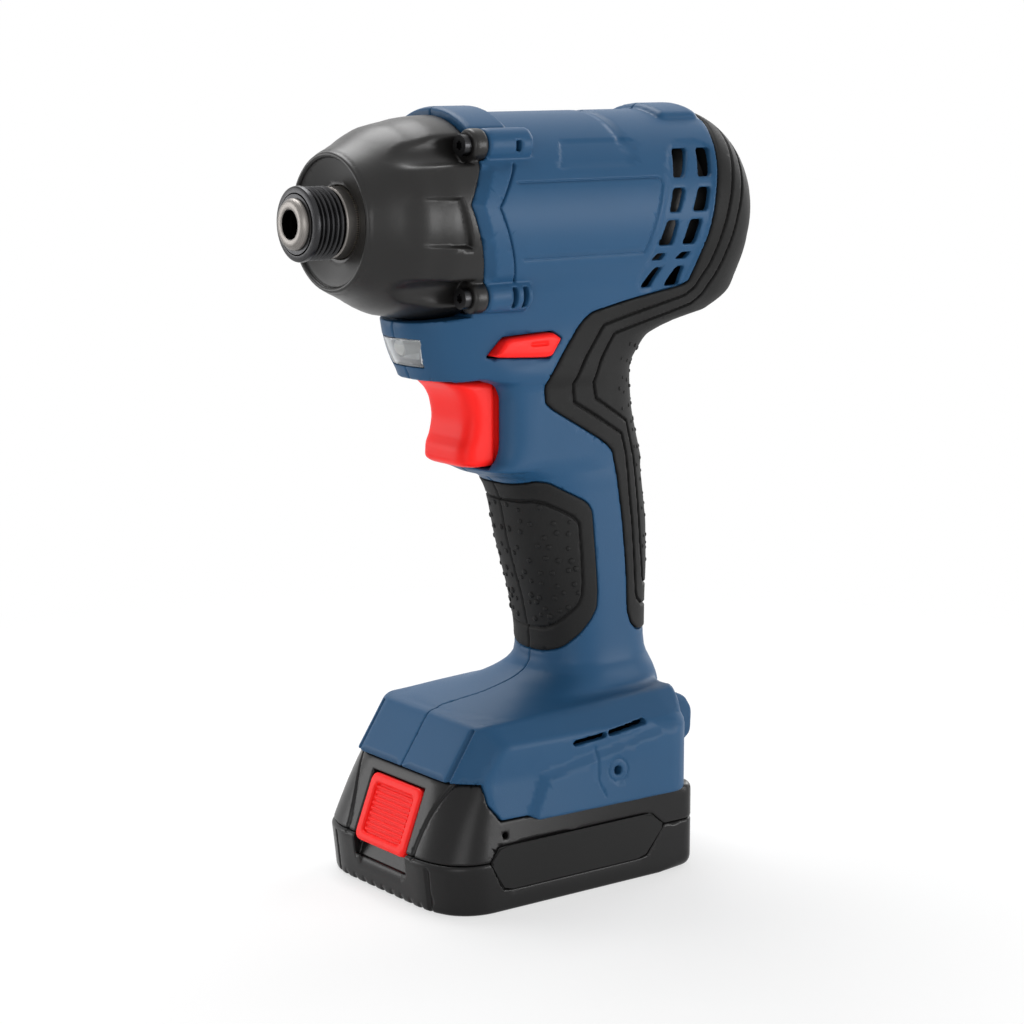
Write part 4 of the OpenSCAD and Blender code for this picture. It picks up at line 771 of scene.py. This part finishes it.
# radius, front and back
caseBores = [
    (11.6, -case["far"], -58.8), (10.5, -case["far"], -57.6), (9.05, -case["far"], case["far"]),
    (23.5, -47.6, case["far"]), (25.3, -11.9, case["far"]),
]
turn = Block((-63, -37.5, 166.5), (-1.5, 37.5, 241.5), case["step"])
caseR = turn.axisDistance()
face = tool["front"] - turn.x + case["dish"] * ramp(caseR, case["dishR"], -case["dishRun"])
caseForm = roundMax(caseTurned(turn), face, 1.0)
caseForm = roundMin(caseForm, np.hypot(caseR - case["beadR"], turn.x - case["beadX"]) - case["bead"], 0.25)
pocketDepth = case["pocket"] * ramp(turn.x, case["pocketFront"], case["pocketRun"]) ** 1.6 * (turn.side > 12)
caseForm = caseForm + pocketDepth * within(turn.area(pocketEdge), 0.8)
ringToBoss = bossRing(turn)
flute = meet(ringToBoss - case["flute"], turn.x - bosses["head"] - 0.2)
caseForm = cut(roundMax(caseForm, turn.area(jointEdge) + 0.05, 0.5), flute, 1.6)
caseForm = roundMin(caseForm, bossForm(turn, bosses["head"], bosses["joint"] - 0.1), 0.6)
caseForm = merge(caseForm, meet(caseR - case["spigotR"], span(turn.x, *case["spigot"])))
bore = merge(*[meet(caseR - r, span(turn.x, front, back)) for r, front, back in caseBores])
caseForm = cut(caseForm, bore, 0.5)
headSink = meet(ringToBoss - case["screwHead"], turn.x - bosses["head"])
caseForm = cut(caseForm, merge(ringToBoss - case["shank"], headSink), 0.3)
castPiece("hammerCase", caseForm, turn, "housing", "black_casting", "hammer_case")


# Turned pieces at the nose
def smoothMesh(mesh, shape, crease):
    shape.to_mesh(mesh)
    shape.free()
    mesh.shade_smooth()
    mesh.set_sharp_from_angle(angle=math.radians(crease))
    return mesh


def lathe(name, profile, finish, steps=96):
    shape = bmesh.new()
    rings = []
    for i in range(steps):
        a = 2 * math.pi * i / steps
        rings.append([shape.verts.new((x * mm, r * math.sin(a) * mm, (tool["axis"] + r * math.cos(a)) * mm))
                      for x, r in profile])
    for ring, after in zip(rings, rings[1:] + rings[:1]):
        for j in range(len(profile)):
            k = (j + 1) % len(profile)
            shape.faces.new((ring[j], ring[k], after[k], after[j]))
    bmesh.ops.recalc_face_normals(shape, faces=shape.faces)
    return addObject(name, smoothMesh(bpy.data.meshes.new(name), shape, 35), finish)


sleeve = {"front": -73.2, "end": -59.6, "radius": 10.9, "ridges": 5, "pitch": 1.62, "bore": 6.75}
front, end = sleeve["front"], sleeve["end"]
sleeveProfile = [(front, 9.0), (front, 10.2), (front + 0.35, 10.75), (front + 0.8, sleeve["radius"]),
                 (front + 1.5, sleeve["radius"]), (front + 1.8, 10.6)]
for i in range(sleeve["ridges"]):
    start = front + 2.1 + sleeve["pitch"] * i
    sleeveProfile += [(start, 9.95), (start + 0.4, 9.85), (start + 0.62, 10.3), (start + 0.95, 10.62),
                      (start + 1.3, 10.3)]
sleeveProfile += [(end - 3.3, 9.7), (end - 3.0, 9.4), (end - 0.4, 9.4), (end, 9.0), (end, 7.7),
                  (end - 3.0, sleeve["bore"]), (end - 6.6, sleeve["bore"]), (end - 6.6, 8.9)]
dress(lathe("bitSleeve", sleeveProfile, finishes["black_steel"]), "sleeve", "black_steel", "bit_sleeve")

ringProfile = [(-73.5, 6.6), (-75.02, 6.6), (-75.02, 4.5), (-75.1, 4.35), (-75.3, 4.45), (-75.4, 4.8),
               (-75.4, 6.3), (-75.2, 6.7), (-74.5, 7.3), (-74.2, 7.45), (-73.5, 7.5)]
dress(lathe("endRing", ringProfile, finishes["ring_steel"]), "anvil", "steel", "retaining_ring")
collarProfile = [(-57.7, 9.65), (-62.0, 9.65), (-62.3, 9.9), (-62.1, 10.25), (-61.8, 10.4), (-57.7, 10.4)]
dress(lathe("noseCollar", collarProfile, finishes["ring_steel"]), "housing", "bronze")
print("nose made")

# Trigger: hollow finger face, flat sides and rounded ends
trigger = {
    "step": 0.3, "half": 11.8, "low": 129.6, "high": 155.8, "back": -11.8, "backRound": 1.2, "stemR": 3.0,
    "stemZ": 146.0, "stem": (-16.0, 6.0), "skirt": 10.7, "skirtHalf": 0.4, "skirtX": (-14.5, -8.5),
    "skirtZ": (130.6, 154.6),
}
# height and place of the finger face
fingerStations = [(129.6, -22.2), (131.6, -22.9), (134.6, -22.8), (139.1, -21.2), (143.6, -20.5),
                  (148.6, -21.3), (152.6, -23.4), (155.8, -27.8)]
pull = Block((-31, -13, 128), (8, 13, 157.5), trigger["step"])
fingerFace = follow(*zip(*fingerStations), pull.z.ravel())[None, None, :]
pullField = roundMax(fingerFace - pull.x, pull.side - trigger["half"], 5.5)
pullField = roundMax(pullField, span(pull.z, trigger["low"], trigger["high"]), 2.6)
r = trigger["backRound"]
pullBack = roundCorner(pull.x - trigger["back"] + r, span(pull.z, trigger["low"] + r, trigger["high"] - r), r)
pullField = meet(pullField, pullBack)
skirts = meet(span(pull.x, *trigger["skirtX"]), span(pull.z, *trigger["skirtZ"]))
skirts = meet(np.abs(pull.side - trigger["skirt"]) - trigger["skirtHalf"], skirts)
stem = np.hypot(pull.y, pull.z - trigger["stemZ"]) - trigger["stemR"]
stem = meet(stem, span(pull.x, *trigger["stem"]))
pullField = merge(pullField, skirts, stem)
castPiece("triggerLever", pullField, pull, "trigger", "red_plastic", "trigger")

# Direction selector: two pads on a bar, each with a small recess
selector = {
    "step": 0.3, "inner": 11.0, "outer": 22.1, "barX": (-13.0, -1.0), "barZ": (164.3, 168.7), "barHalf": 12.0,
    "notch": (-2.4, 166.9), "notchHalf": 2.6, "notchR": 0.45, "notchDepth": 0.6,
}
pick = Block((-21.5, -23, 160.5), (8.5, 23, 172), selector["step"])
padSpan = span(pick.side, selector["inner"], selector["outer"])
pads = roundMax(pick.area(soften(selectorShape, 0.1)), padSpan, 1.9)
notchX, notchZ = selector["notch"]
pastNotch = np.maximum(np.abs(pick.x - notchX) - selector["notchHalf"], 0)
notch = np.hypot(pastNotch, pick.z - notchZ) - selector["notchR"]
pads = pads + within(notch, 0.6) * selector["notchDepth"] * (pick.side > 20)
bar = meet(span(pick.x, *selector["barX"]), span(pick.z, *selector["barZ"]), pick.side - selector["barHalf"])
castPiece("directionSelector", merge(pads, bar), pick, "selector", "red_plastic", "direction_selector")

# Work-light lens, from the same chin as the housing
glow = Block((-41.5, -11.5, 159.5), (-31, 11.5, 170.5), 0.25)
glowChin = chinForm(glow)
lensField = roundMax(glowChin + 0.1, meet(lensEnds(glow, 0, 1.0), glow.x - lens["back"]), 0.5)
lensField = meet(lensField, -(glowChin + lens["wall"]))
castPiece("workLightLens", lensField, glow, "housing", "clear_lens", "work_light_lens")
print("controls made")

# Battery: two shells, inlaid sides and a sprung button
deckEdge = [(-26.3, 27.2), (-30.1, 32.3), (-30.9, 38.6), (-30.9, 60), (200, 60), (200, 27.2)]
panelShape = [(-26.5, 6.6), (28, 6.6), (35.2, 15.7), (30, 20.2), (-28, 20.2), (-31.3, 15.7)]
lean = math.radians(pack["slope"])


def buttonFrame(b):
    # depth behind the sloped front, and height along it
    u, v = b.x - pack["front"], b.z - pack["knee"]
    return u * math.cos(lean) - v * math.sin(lean), u * math.sin(lean) + v * math.cos(lean)


cell = Block((-49.5, -38.4, -1.2), (51, 38.4, 40), pack["step"])
rise = ramp(cell.z, pack["knee"], pack["rise"])
packFront = pack["front"] + np.maximum(cell.z - pack["knee"], 0) * math.tan(lean)
packFront = packFront + np.maximum(pack["knee"] - cell.z, 0) * pack["undercut"]
atFront = cell.x < packFront + 5
packSide = cell.side - pack["half"] + packTaper(cell, pack["taperRun"])
nose = (packFront - cell.x) * math.cos(lean)
runX, runY = 8 - rise, 13 - pack["taper"] * rise + 1.5 * rise ** 3
cornerSide = cell.side - 25.4 + 1.4 * rise + 3 * rise ** 3
packCorner = facet(packFront - cell.x, cornerSide, runY, runX, np.sqrt(runX ** 2 + runY ** 2)) / 1.06
packRear = roundCorner(cell.x - pack["rear"][0], cell.side - pack["rear"][1], pack["rearRound"])
packForm = roundMax(roundMax(packSide, packRear, 0.8), roundMax(nose, packCorner, 3.5), 7.0 - 4.0 * rise)
packForm = roundMax(packForm, -cell.z, 1.4 + 2.6 * ramp(cell.x, 34, 10))
packPlain = roundMax(packForm, cell.z - pack["top"], 0.8)

# deck with its rails, inlays, hole, front grooves and the notched lower edge
packForm = cut(packPlain, cell.area(deckEdge), 0.3 + 2.4 * ramp(cell.x, 38, 8))
alongRails = span(cell.x, *pack["rails"])
for wide, high in pack["railSteps"]:
    packForm = merge(packForm, meet(cell.side - wide, span(cell.z, *high), alongRails))
panel = cell.area(soften(panelShape, 0.06))
packForm = cut(packForm, meet(panel - 0.15, pack["inlaySide"] - cell.side), 0.4)
packForm = packForm + dent(np.abs(cell.z - pack["parting"]), 0.4, 0.4) * (panel > 0)
packForm = cut(packForm, meet(cell.ring(*pack["hole"]) - pack["holeR"], pack["holeSide"] - cell.side), 0.2)
upperGroove = np.abs(cell.side - 17.6 - 6.8 * rise ** 2)
packForm = packForm + dent(upperGroove, 0.9, 0.9) * (cell.x < packFront + 4) * (cell.z > 15)
packForm = packForm + dent(np.abs(cell.side - 24.2), 0.9, 0.6) * atFront * (cell.z < 14)
notches = np.hypot(np.abs(np.mod(cell.side + 2.5, 5) - 2.5) * 1.6, cell.z - 0.6)
packForm = packForm + dent(notches, 2.2, 0.5) * atFront * (cell.side < 23)

# room inside, contact slots and the button's keyway
for y in pack["contacts"]:
    contact = meet(np.abs(cell.y - y) - pack["contactHalf"], pack["contactLow"] - cell.z)
    packForm = cut(packForm, meet(contact, pack["contactFront"] - cell.x), 0.3)
wide, high, along = pack["upperRoom"]
upperRoom = meet(cell.side - wide, span(cell.z, *high), span(cell.x, *along))
packRoom = merge(meet(packPlain + pack["wall"], cell.z - pack["roomTop"]), upperRoom)
packForm = meet(packForm, -packRoom)
deep, tall = buttonFrame(cell)
wide, far, high = pack["keyBack"]
backing = meet(cell.side - wide, span(deep, *far), span(tall, *high))
packForm = merge(packForm, meet(backing, packPlain + 0.6))
for wide, far, high, edge in pack["keyRooms"]:
    packForm = cut(packForm, meet(cell.side - wide, deep - far, span(tall, *high)), edge)
packTop = roundMax(packForm, pack["parting"] + pack["gap"] - cell.z, 0.4)
packBase = roundMax(packForm, cell.z - pack["parting"] + pack["gap"], 0.4)
castPiece("batteryTop", packTop, cell, "battery", "dark_plastic", "battery_top_shell")
castPiece("batteryBase", packBase, cell, "battery", "dark_plastic", "battery_bottom_shell")


# Inlaid side panels: a bevelled plate on each side
def plate(name, shape, size, finish):
    solid = bmesh.new()
    for sign in (-1, 1):
        low = [solid.verts.new((x * mm, sign * size["inner"] * mm, z * mm)) for x, z in shape]
        high = [solid.verts.new((x * mm, sign * size["outer"] * mm, z * mm)) for x, z in shape]
        solid.faces.new(low)
        cap = solid.faces.new(high)
        for i in range(len(shape)):
            j = (i + 1) % len(shape)
            solid.faces.new((low[i], low[j], high[j], high[i]))
        bmesh.ops.bevel(solid, geom=list(cap.edges), offset=size["bevel"] * mm, segments=3, affect="EDGES")
    bmesh.ops.recalc_face_normals(solid, faces=solid.faces)
    return addObject(name, smoothMesh(bpy.data.meshes.new(name), solid, 30), finish)


inlay = {"inner": 35.7, "outer": 36.75, "bevel": 0.45}
sidePanels = plate("batterySidePanels", soften(panelShape, 0.06), inlay, finishes["black_plastic"])
dress(sidePanels, "battery", "black_plastic", "battery_side_panels")

# Release button: framed cap with ribs in its well, and a tongue behind
button = {
    "step": 0.3, "half": 13.4, "tall": (0.0, 21.4), "deep": (-0.3, 4.0), "wellHalf": 10.0,
    "well": (2.8, 18.4), "wellDeep": 0.8, "tongueHalf": 2.7, "tongueDeep": (3.2, 8.8),
    "tongueTall": (12.3, 16.7), "ribLow": 4.0, "ribDeep": 0.7,
}
key = Block((-49, -14.3, 12.5), (-32, 14.3, 37), button["step"])
deep, tall = buttonFrame(key)
cap = roundMax(key.side - button["half"], span(tall, *button["tall"]), 3.0)
cap = roundMax(cap, span(deep, *button["deep"]), 1.2)
well = roundMax(key.side - button["wellHalf"], span(tall, *button["well"]), 2.0)
cap = cut(cap, meet(well, deep - button["wellDeep"]), 0.7)
tongue = meet(span(deep, *button["tongueDeep"]), span(tall, *button["tongueTall"]))
tongue = meet(tongue, key.side - button["tongueHalf"])
castPiece("releaseButton", merge(cap, tongue), key, "button", "red_plastic", "release_button")
print("battery made")


# Geometry Nodes: each tree has named sizes in metres and ends in Realize Instances and Set Material
class Tree(Maker):
    def __init__(self, name, sizes):
        super().__init__(bpy.data.node_groups.new(name, "GeometryNodeTree"))
        face = self.tree.interface
        face.new_socket("Geometry", in_out="INPUT", socket_type="NodeSocketGeometry")
        for word, value in sizes.items():
            kind = "NodeSocketInt" if isinstance(value, int) else "NodeSocketFloat"
            face.new_socket(word, in_out="INPUT", socket_type=kind).default_value = value
        face.new_socket("Material", in_out="INPUT", socket_type="NodeSocketMaterial")
        face.new_socket("Geometry", in_out="OUTPUT", socket_type="NodeSocketGeometry")
        self.entry = self.tree.nodes.new("NodeGroupInput")

    def size(self, word):
        return Wire(self.tree, self.entry.outputs[word])

    def shift(self, geometry, **parts):
        values = {"Geometry": geometry, "Translation": self.vector(**parts)}
        return self.node("GeometryNodeTransform", None, values)

    def join(self, *parts):
        joined = self.node("GeometryNodeJoinGeometry")
        for part in parts:
            self.plug(part, joined.socket.node.inputs[0])
        return joined

    def aimed(self):
        aim = self.node("GeometryNodeInputNamedAttribute", {"data_type": "FLOAT_VECTOR"}, {"Name": "aim"})
        return self.node("FunctionNodeAlignRotationToVector", {"axis": "Z"}, {"Vector": aim})

    def close(self, **places):
        repeats = self.node("GeometryNodeInstanceOnPoints", None, places)
        solid = self.node("GeometryNodeRealizeInstances", None, {"Geometry": repeats})
        values = {"Geometry": solid, "Material": self.size("Material")}
        dressed = self.node("GeometryNodeSetMaterial", None, values)
        self.plug(dressed, self.tree.nodes.new("NodeGroupOutput").inputs[0])


def grow(name, tree, mesh, finish, sizes):
    source = addObject(name + "Source", mesh)
    modifier = source.modifiers.new("nodes", "NODES")
    modifier.node_group = tree.tree
    for item in tree.tree.interface.items_tree:
        if item.in_out == "INPUT" and item.name in sizes:
            modifier[item.identifier] = sizes[item.name]
        if item.in_out == "INPUT" and item.name == "Material":
            modifier[item.identifier] = finish
    result = bpy.data.meshes.new_from_object(source.evaluated_get(bpy.context.evaluated_depsgraph_get()))
    bpy.data.objects.remove(source)
    result.name = name
    return addObject(name, result)


def pointMesh(name, points, aims):
    mesh = bpy.data.meshes.new(name)
    mesh.from_pydata([tuple(p) for p in points], [], [])
    aim = mesh.attributes.new("aim", "FLOAT_VECTOR", "POINT")
    aim.data.foreach_set("vector", np.array(aims, np.float32).ravel())
    return mesh


# raised dots on the grips
dotTree = Tree("gripDots", {"Radius": 0.0007, "Height": 0.5, "Seed": 4})
dot = dotTree.node("GeometryNodeMeshUVSphere", None,
                   {"Segments": 10, "Rings": 6, "Radius": dotTree.size("Radius")})
flat = dotTree.vector(X=1.0, Y=1.0, Z=dotTree.size("Height"))
dot = dotTree.node("GeometryNodeTransform", None, {"Geometry": dot, "Scale": flat})
vary = dotTree.node("FunctionNodeRandomValue", {"data_type": "FLOAT"},
                    {2: 0.75, 3: 1.15, "Seed": dotTree.size("Seed")}, out=1)
dotTree.close(Points=dotTree.size("Geometry"), Instance=dot, Rotation=dotTree.aimed(), Scale=vary)
dots = {"seed": 7, "scatter": 0.3, "middle": 26.0, "away": 45.0, "reach": 44.0, "stride": 0.2, "margin": 1.2}


def touch(field, b, starts, aims):
    # walks from outside towards the field and stops at its skin
    starts, aims = np.array(starts, float), np.array(aims, float)
    found = np.full(len(starts), np.nan)
    before = np.full(len(starts), 1.0)
    for t in np.arange(0, dots["reach"], dots["stride"]):
        value = sampleField(field, (starts + aims * t - b.low) / b.step)
        hit = (value <= 0) & np.isnan(found)
        found[hit] = t - dots["stride"] * (-value[hit]) / np.maximum(before[hit] - value[hit], 1e-6)
        before = value
    good = ~np.isnan(found)
    p = starts[good] + aims[good] * found[good][:, None]
    return p, fieldNormals(field, (p - b.low) / b.step)


def gripDots(name, field, area, rows, angles, radius, height):
    starts, aims = [], []
    chance = np.random.default_rng(dots["seed"])
    scatter, away = dots["scatter"], dots["away"]
    for i, z in enumerate(rows):
        for a in angles:
            t = math.radians(a + (angles[1] - angles[0]) * (i % 2 / 2 + chance.uniform(-scatter, scatter)))
            high = z + (rows[1] - rows[0]) * chance.uniform(-scatter, scatter)
            out = (math.cos(t), math.sin(t), 0)
            starts.append((dots["middle"] + away * out[0], away * out[1], high))
            aims.append((-out[0], -out[1], 0))
    points, normals = touch(field, half, starts, aims)
    inside = outline(area, points[:, 0], points[:, 2]) < -dots["margin"]
    keep = inside & (points[:, 1] < -dots["margin"])
    points, normals = points[keep] * mm, normals[keep]
    for word, sign in (("Left", 1), ("Right", -1)):
        mirror = np.array([1, sign, 1])
        seeds = pointMesh(name, points * mirror, normals * mirror)
        dotSizes = {"Radius": radius, "Height": height}
        piece = grow(name + word, dotTree, seeds, finishes["black_rubber"], dotSizes)
        piece.data.shade_smooth()
        dress(piece, "housing", "black_rubber")


frontRows, frontAngles = [79.5 + 3.9 * i for i in range(10)], [181 + 12 * i for i in range(8)]
gripDots("frontGripDots", frontRubber, padLine, frontRows, frontAngles, 0.00092, 0.48)
rearRows, rearAngles = [94 + 4.6 * i for i in range(16)], [289 + 11 * i for i in range(6)]
rearArea = innerLine[8:] + [(70, 82), (70, 172)]
gripDots("rearGripDots", rearRubber, rearArea, rearRows, rearAngles, 0.00065, 0.5)

# case screws: flat heads with a star socket
screwTree = Tree("caseScrews", {"Head radius": 0.0031, "Head height": 0.0024, "Socket radius": 0.0015,
                                "Socket depth": 0.0013, "Shank radius": 0.0019, "Shank length": 0.017})
headHigh, socketR = screwTree.size("Head height"), screwTree.size("Socket radius")
shankLong = screwTree.size("Shank length")
headRing = screwTree.node("GeometryNodeCurvePrimitiveCircle", None,
                          {"Resolution": 40, "Radius": screwTree.size("Head radius")})
star = screwTree.node("GeometryNodeCurveStar", None,
                      {"Points": 6, "Inner Radius": socketR * 0.72, "Outer Radius": socketR})
topFace = screwTree.node("GeometryNodeFillCurve", None, {"Curve": screwTree.join(headRing, star)})
sunkFace = screwTree.node("GeometryNodeFillCurve", None, {"Curve": star})
sunkFace = screwTree.shift(sunkFace, Z=0.0 - screwTree.size("Socket depth"))
walls = screwTree.node("GeometryNodeExtrudeMesh", {"mode": "FACES"}, {
    "Mesh": topFace, "Offset": screwTree.vector(Z=1.0), "Offset Scale": headHigh * -1.0, "Individual": False})
shank = screwTree.node("GeometryNodeMeshCylinder", None, {
    "Vertices": 24, "Radius": screwTree.size("Shank radius"), "Depth": shankLong})
shank = screwTree.shift(shank, Z=shankLong * -0.5 - headHigh)
screw = screwTree.join(topFace, sunkFace, walls, shank)
screwTree.close(Points=screwTree.size("Geometry"), Instance=screw, Rotation=screwTree.aimed())
screwOut = bosses["out"] * mm
screwPoints = [((bosses["head"] - 2.4) * mm, sy * screwOut, tool["axis"] * mm + sz * screwOut)
               for sy in (-1, 1) for sz in (-1, 1)]
screwSeeds = pointMesh("caseScrewPoints", screwPoints, [(-1, 0, 0)] * 4)
caseScrews = grow("caseScrews", screwTree, screwSeeds, finishes["black_steel"], {})
dress(caseScrews, "housing", "black_steel", "hammer_case_screws")

# ribs in the button's well
ribTree = Tree("buttonRibs", {"Count": 9, "Half width": 0.0094, "Radius": 0.00055, "Pitch": 0.00165})
ribHalf = ribTree.size("Half width")
ribLine = ribTree.node("GeometryNodeCurvePrimitiveLine", None, {
    "Start": ribTree.vector(Y=ribHalf * -1.0), "End": ribTree.vector(Y=ribHalf)})
ribRound = ribTree.node("GeometryNodeCurvePrimitiveCircle", None,
                        {"Resolution": 10, "Radius": ribTree.size("Radius")})
ribBar = ribTree.node("GeometryNodeCurveToMesh", None,
                      {"Curve": ribLine, "Profile Curve": ribRound, "Fill Caps": True})
ribPlaces = ribTree.node("GeometryNodeMeshLine", None, {
    "Count": ribTree.size("Count"), "Offset": ribTree.vector(Z=ribTree.size("Pitch"))})
ribTree.close(Points=ribPlaces, Instance=ribBar)
buttonRibs = grow("buttonRibs", ribTree, bpy.data.meshes.new("buttonRibSeed"), finishes["red_plastic"], {})
for vertex in buttonRibs.data.vertices:
    x, y, z = vertex.co
    x, z = x + button["ribDeep"] * mm, z + button["ribLow"] * mm
    vertex.co = (pack["front"] * mm + x * math.cos(lean) + z * math.sin(lean), y,
                 pack["knee"] * mm - x * math.sin(lean) + z * math.cos(lean))
buttonRibs.data.shade_smooth()
dress(buttonRibs, "button", "red_plastic")
print("repeats made")

# Springs: copies of the CAD coils, welded and smooth shaded, each riding on its body
springs = [
    {"name": "hammerSpring", "node": "hammer_spring", "body": "carrier", "joint": "hammer_slide",
     "axis": (1.0, 0.0, 0.0), "fixed": (-0.0152, 0.0, 0.204), "travel": 0.008},
    {"name": "sleeveSpring", "node": "sleeve_spring", "body": "anvil", "joint": "sleeve_slide",
     "axis": (1.0, 0.0, 0.0), "fixed": (-0.0726, 0.0, 0.204), "travel": 0.0035},
    {"name": "buttonSpring", "node": "button_spring", "body": "battery", "joint": "button_press",
     "axis": (math.sin(lean), 0.0, math.cos(lean)), "fixed": (-0.0422, 0.0, 0.0149), "travel": 0.004},
]
for spring in springs:
    coil = frame["nodes"][spring["node"]].data.copy()
    merged = bmesh.new()
    merged.from_mesh(coil)
    bmesh.ops.remove_doubles(merged, verts=merged.verts, dist=0.000001)
    smoothMesh(coil, merged, 35)
    piece = dress(addObject(spring["name"], coil, finishes["steel"]), spring["body"], "steel", spring["node"])
    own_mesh(piece)

# Finishes on the CAD pieces that stay
slotOf = {}
for entry in frame["record"]["materials"]:
    slotOf[entry["slot"]] = finishes.get(entry["slot"], finishes["steel"])
for node in frame["nodes"].values():
    for holder in node.material_slots:
        word = holder.material.name.split(".")[0] if holder.material else "steel"
        holder.material = slotOf.get(word, finishes["steel"])
# the motor can takes the darker steel, with painted shade for the inside of the housing
for name, word in (("anvil", "anvil_steel"), ("motor_can", "can_steel"), ("sleeve_washer", "black_steel")):
    for holder in frame["nodes"][name].material_slots:
        holder.material = finishes[word]
print("inner pieces finished")

# Floor, light and white surround
stage = {"size": 12.0, "clear": 0.17, "fade": 0.42, "least": 0.62, "room": 0.32, "aim": (0, 0, 0.12)}
floorMesh = bpy.data.meshes.new("floor")
s = stage["size"]
floorMesh.from_pydata([(-s, -s, 0), (s, -s, 0), (s, s, 0), (-s, s, 0)], [], [(0, 1, 2, 3)])
floorLook = Finish("pale_floor", {"Base Color": rgb(0.93, 0.93, 0.93), "Roughness": 0.9})
away = floorLook.node("ShaderNodeVectorMath", {"operation": "LENGTH"}, {0: floorLook.place}, out=1)
whiteness = floorLook.node("ShaderNodeMapRange", {"interpolation_type": "SMOOTHSTEP"},
                           {0: away, 1: stage["clear"], 2: stage["fade"], 3: stage["least"], 4: 1.0})
white = floorLook.node("ShaderNodeEmission", None, {"Color": rgb(1, 1, 1), "Strength": 1.0})
shaded = Wire(floorLook.tree, floorLook.shader.outputs[0])
blend = floorLook.node("ShaderNodeMixShader", None, {0: whiteness * floorLook.seen(), 1: shaded, 2: white})
floorLook.plug(blend, floorLook.tree.nodes["Material Output"].inputs[0])
addObject("floor", floorMesh, floorLook.material)

world = bpy.data.worlds.new("softRoom")
scene.world = world
world.use_nodes = True
room = Maker(world.node_tree)
ground = world.node_tree.nodes["Background"]
ground.inputs[0].default_value = rgb(1, 1, 1)
room.plug(room.seen() * (1 - stage["room"]) + stage["room"], ground.inputs[1])

# name, place, width and power
lamps = [
    ("sideLamp", (-1.0, -1.05, 0.30), 0.8, 5.5), ("frontLamp", (0.85, -1.15, 0.2), 0.7, 12.5),
    ("topLamp", (0.1, 0.65, 1.35), 0.9, 17.0), ("rimLamp", (1.25, 0.4, 0.6), 0.6, 6.0),
    ("backLamp", (-0.9, 1.1, 0.25), 0.6, 4.5),
]
for name, place, width, power in lamps:
    data = bpy.data.lights.new(name, "AREA")
    data.shape, data.size, data.energy = "SQUARE", width, power
    lamp = bpy.data.objects.new(name, data)
    lamp.location = place
    lamp.rotation_euler = (Vector(stage["aim"]) - Vector(place)).to_track_quat("-Z", "Y").to_euler()
    scene.collection.objects.link(lamp)
print("stage lit")
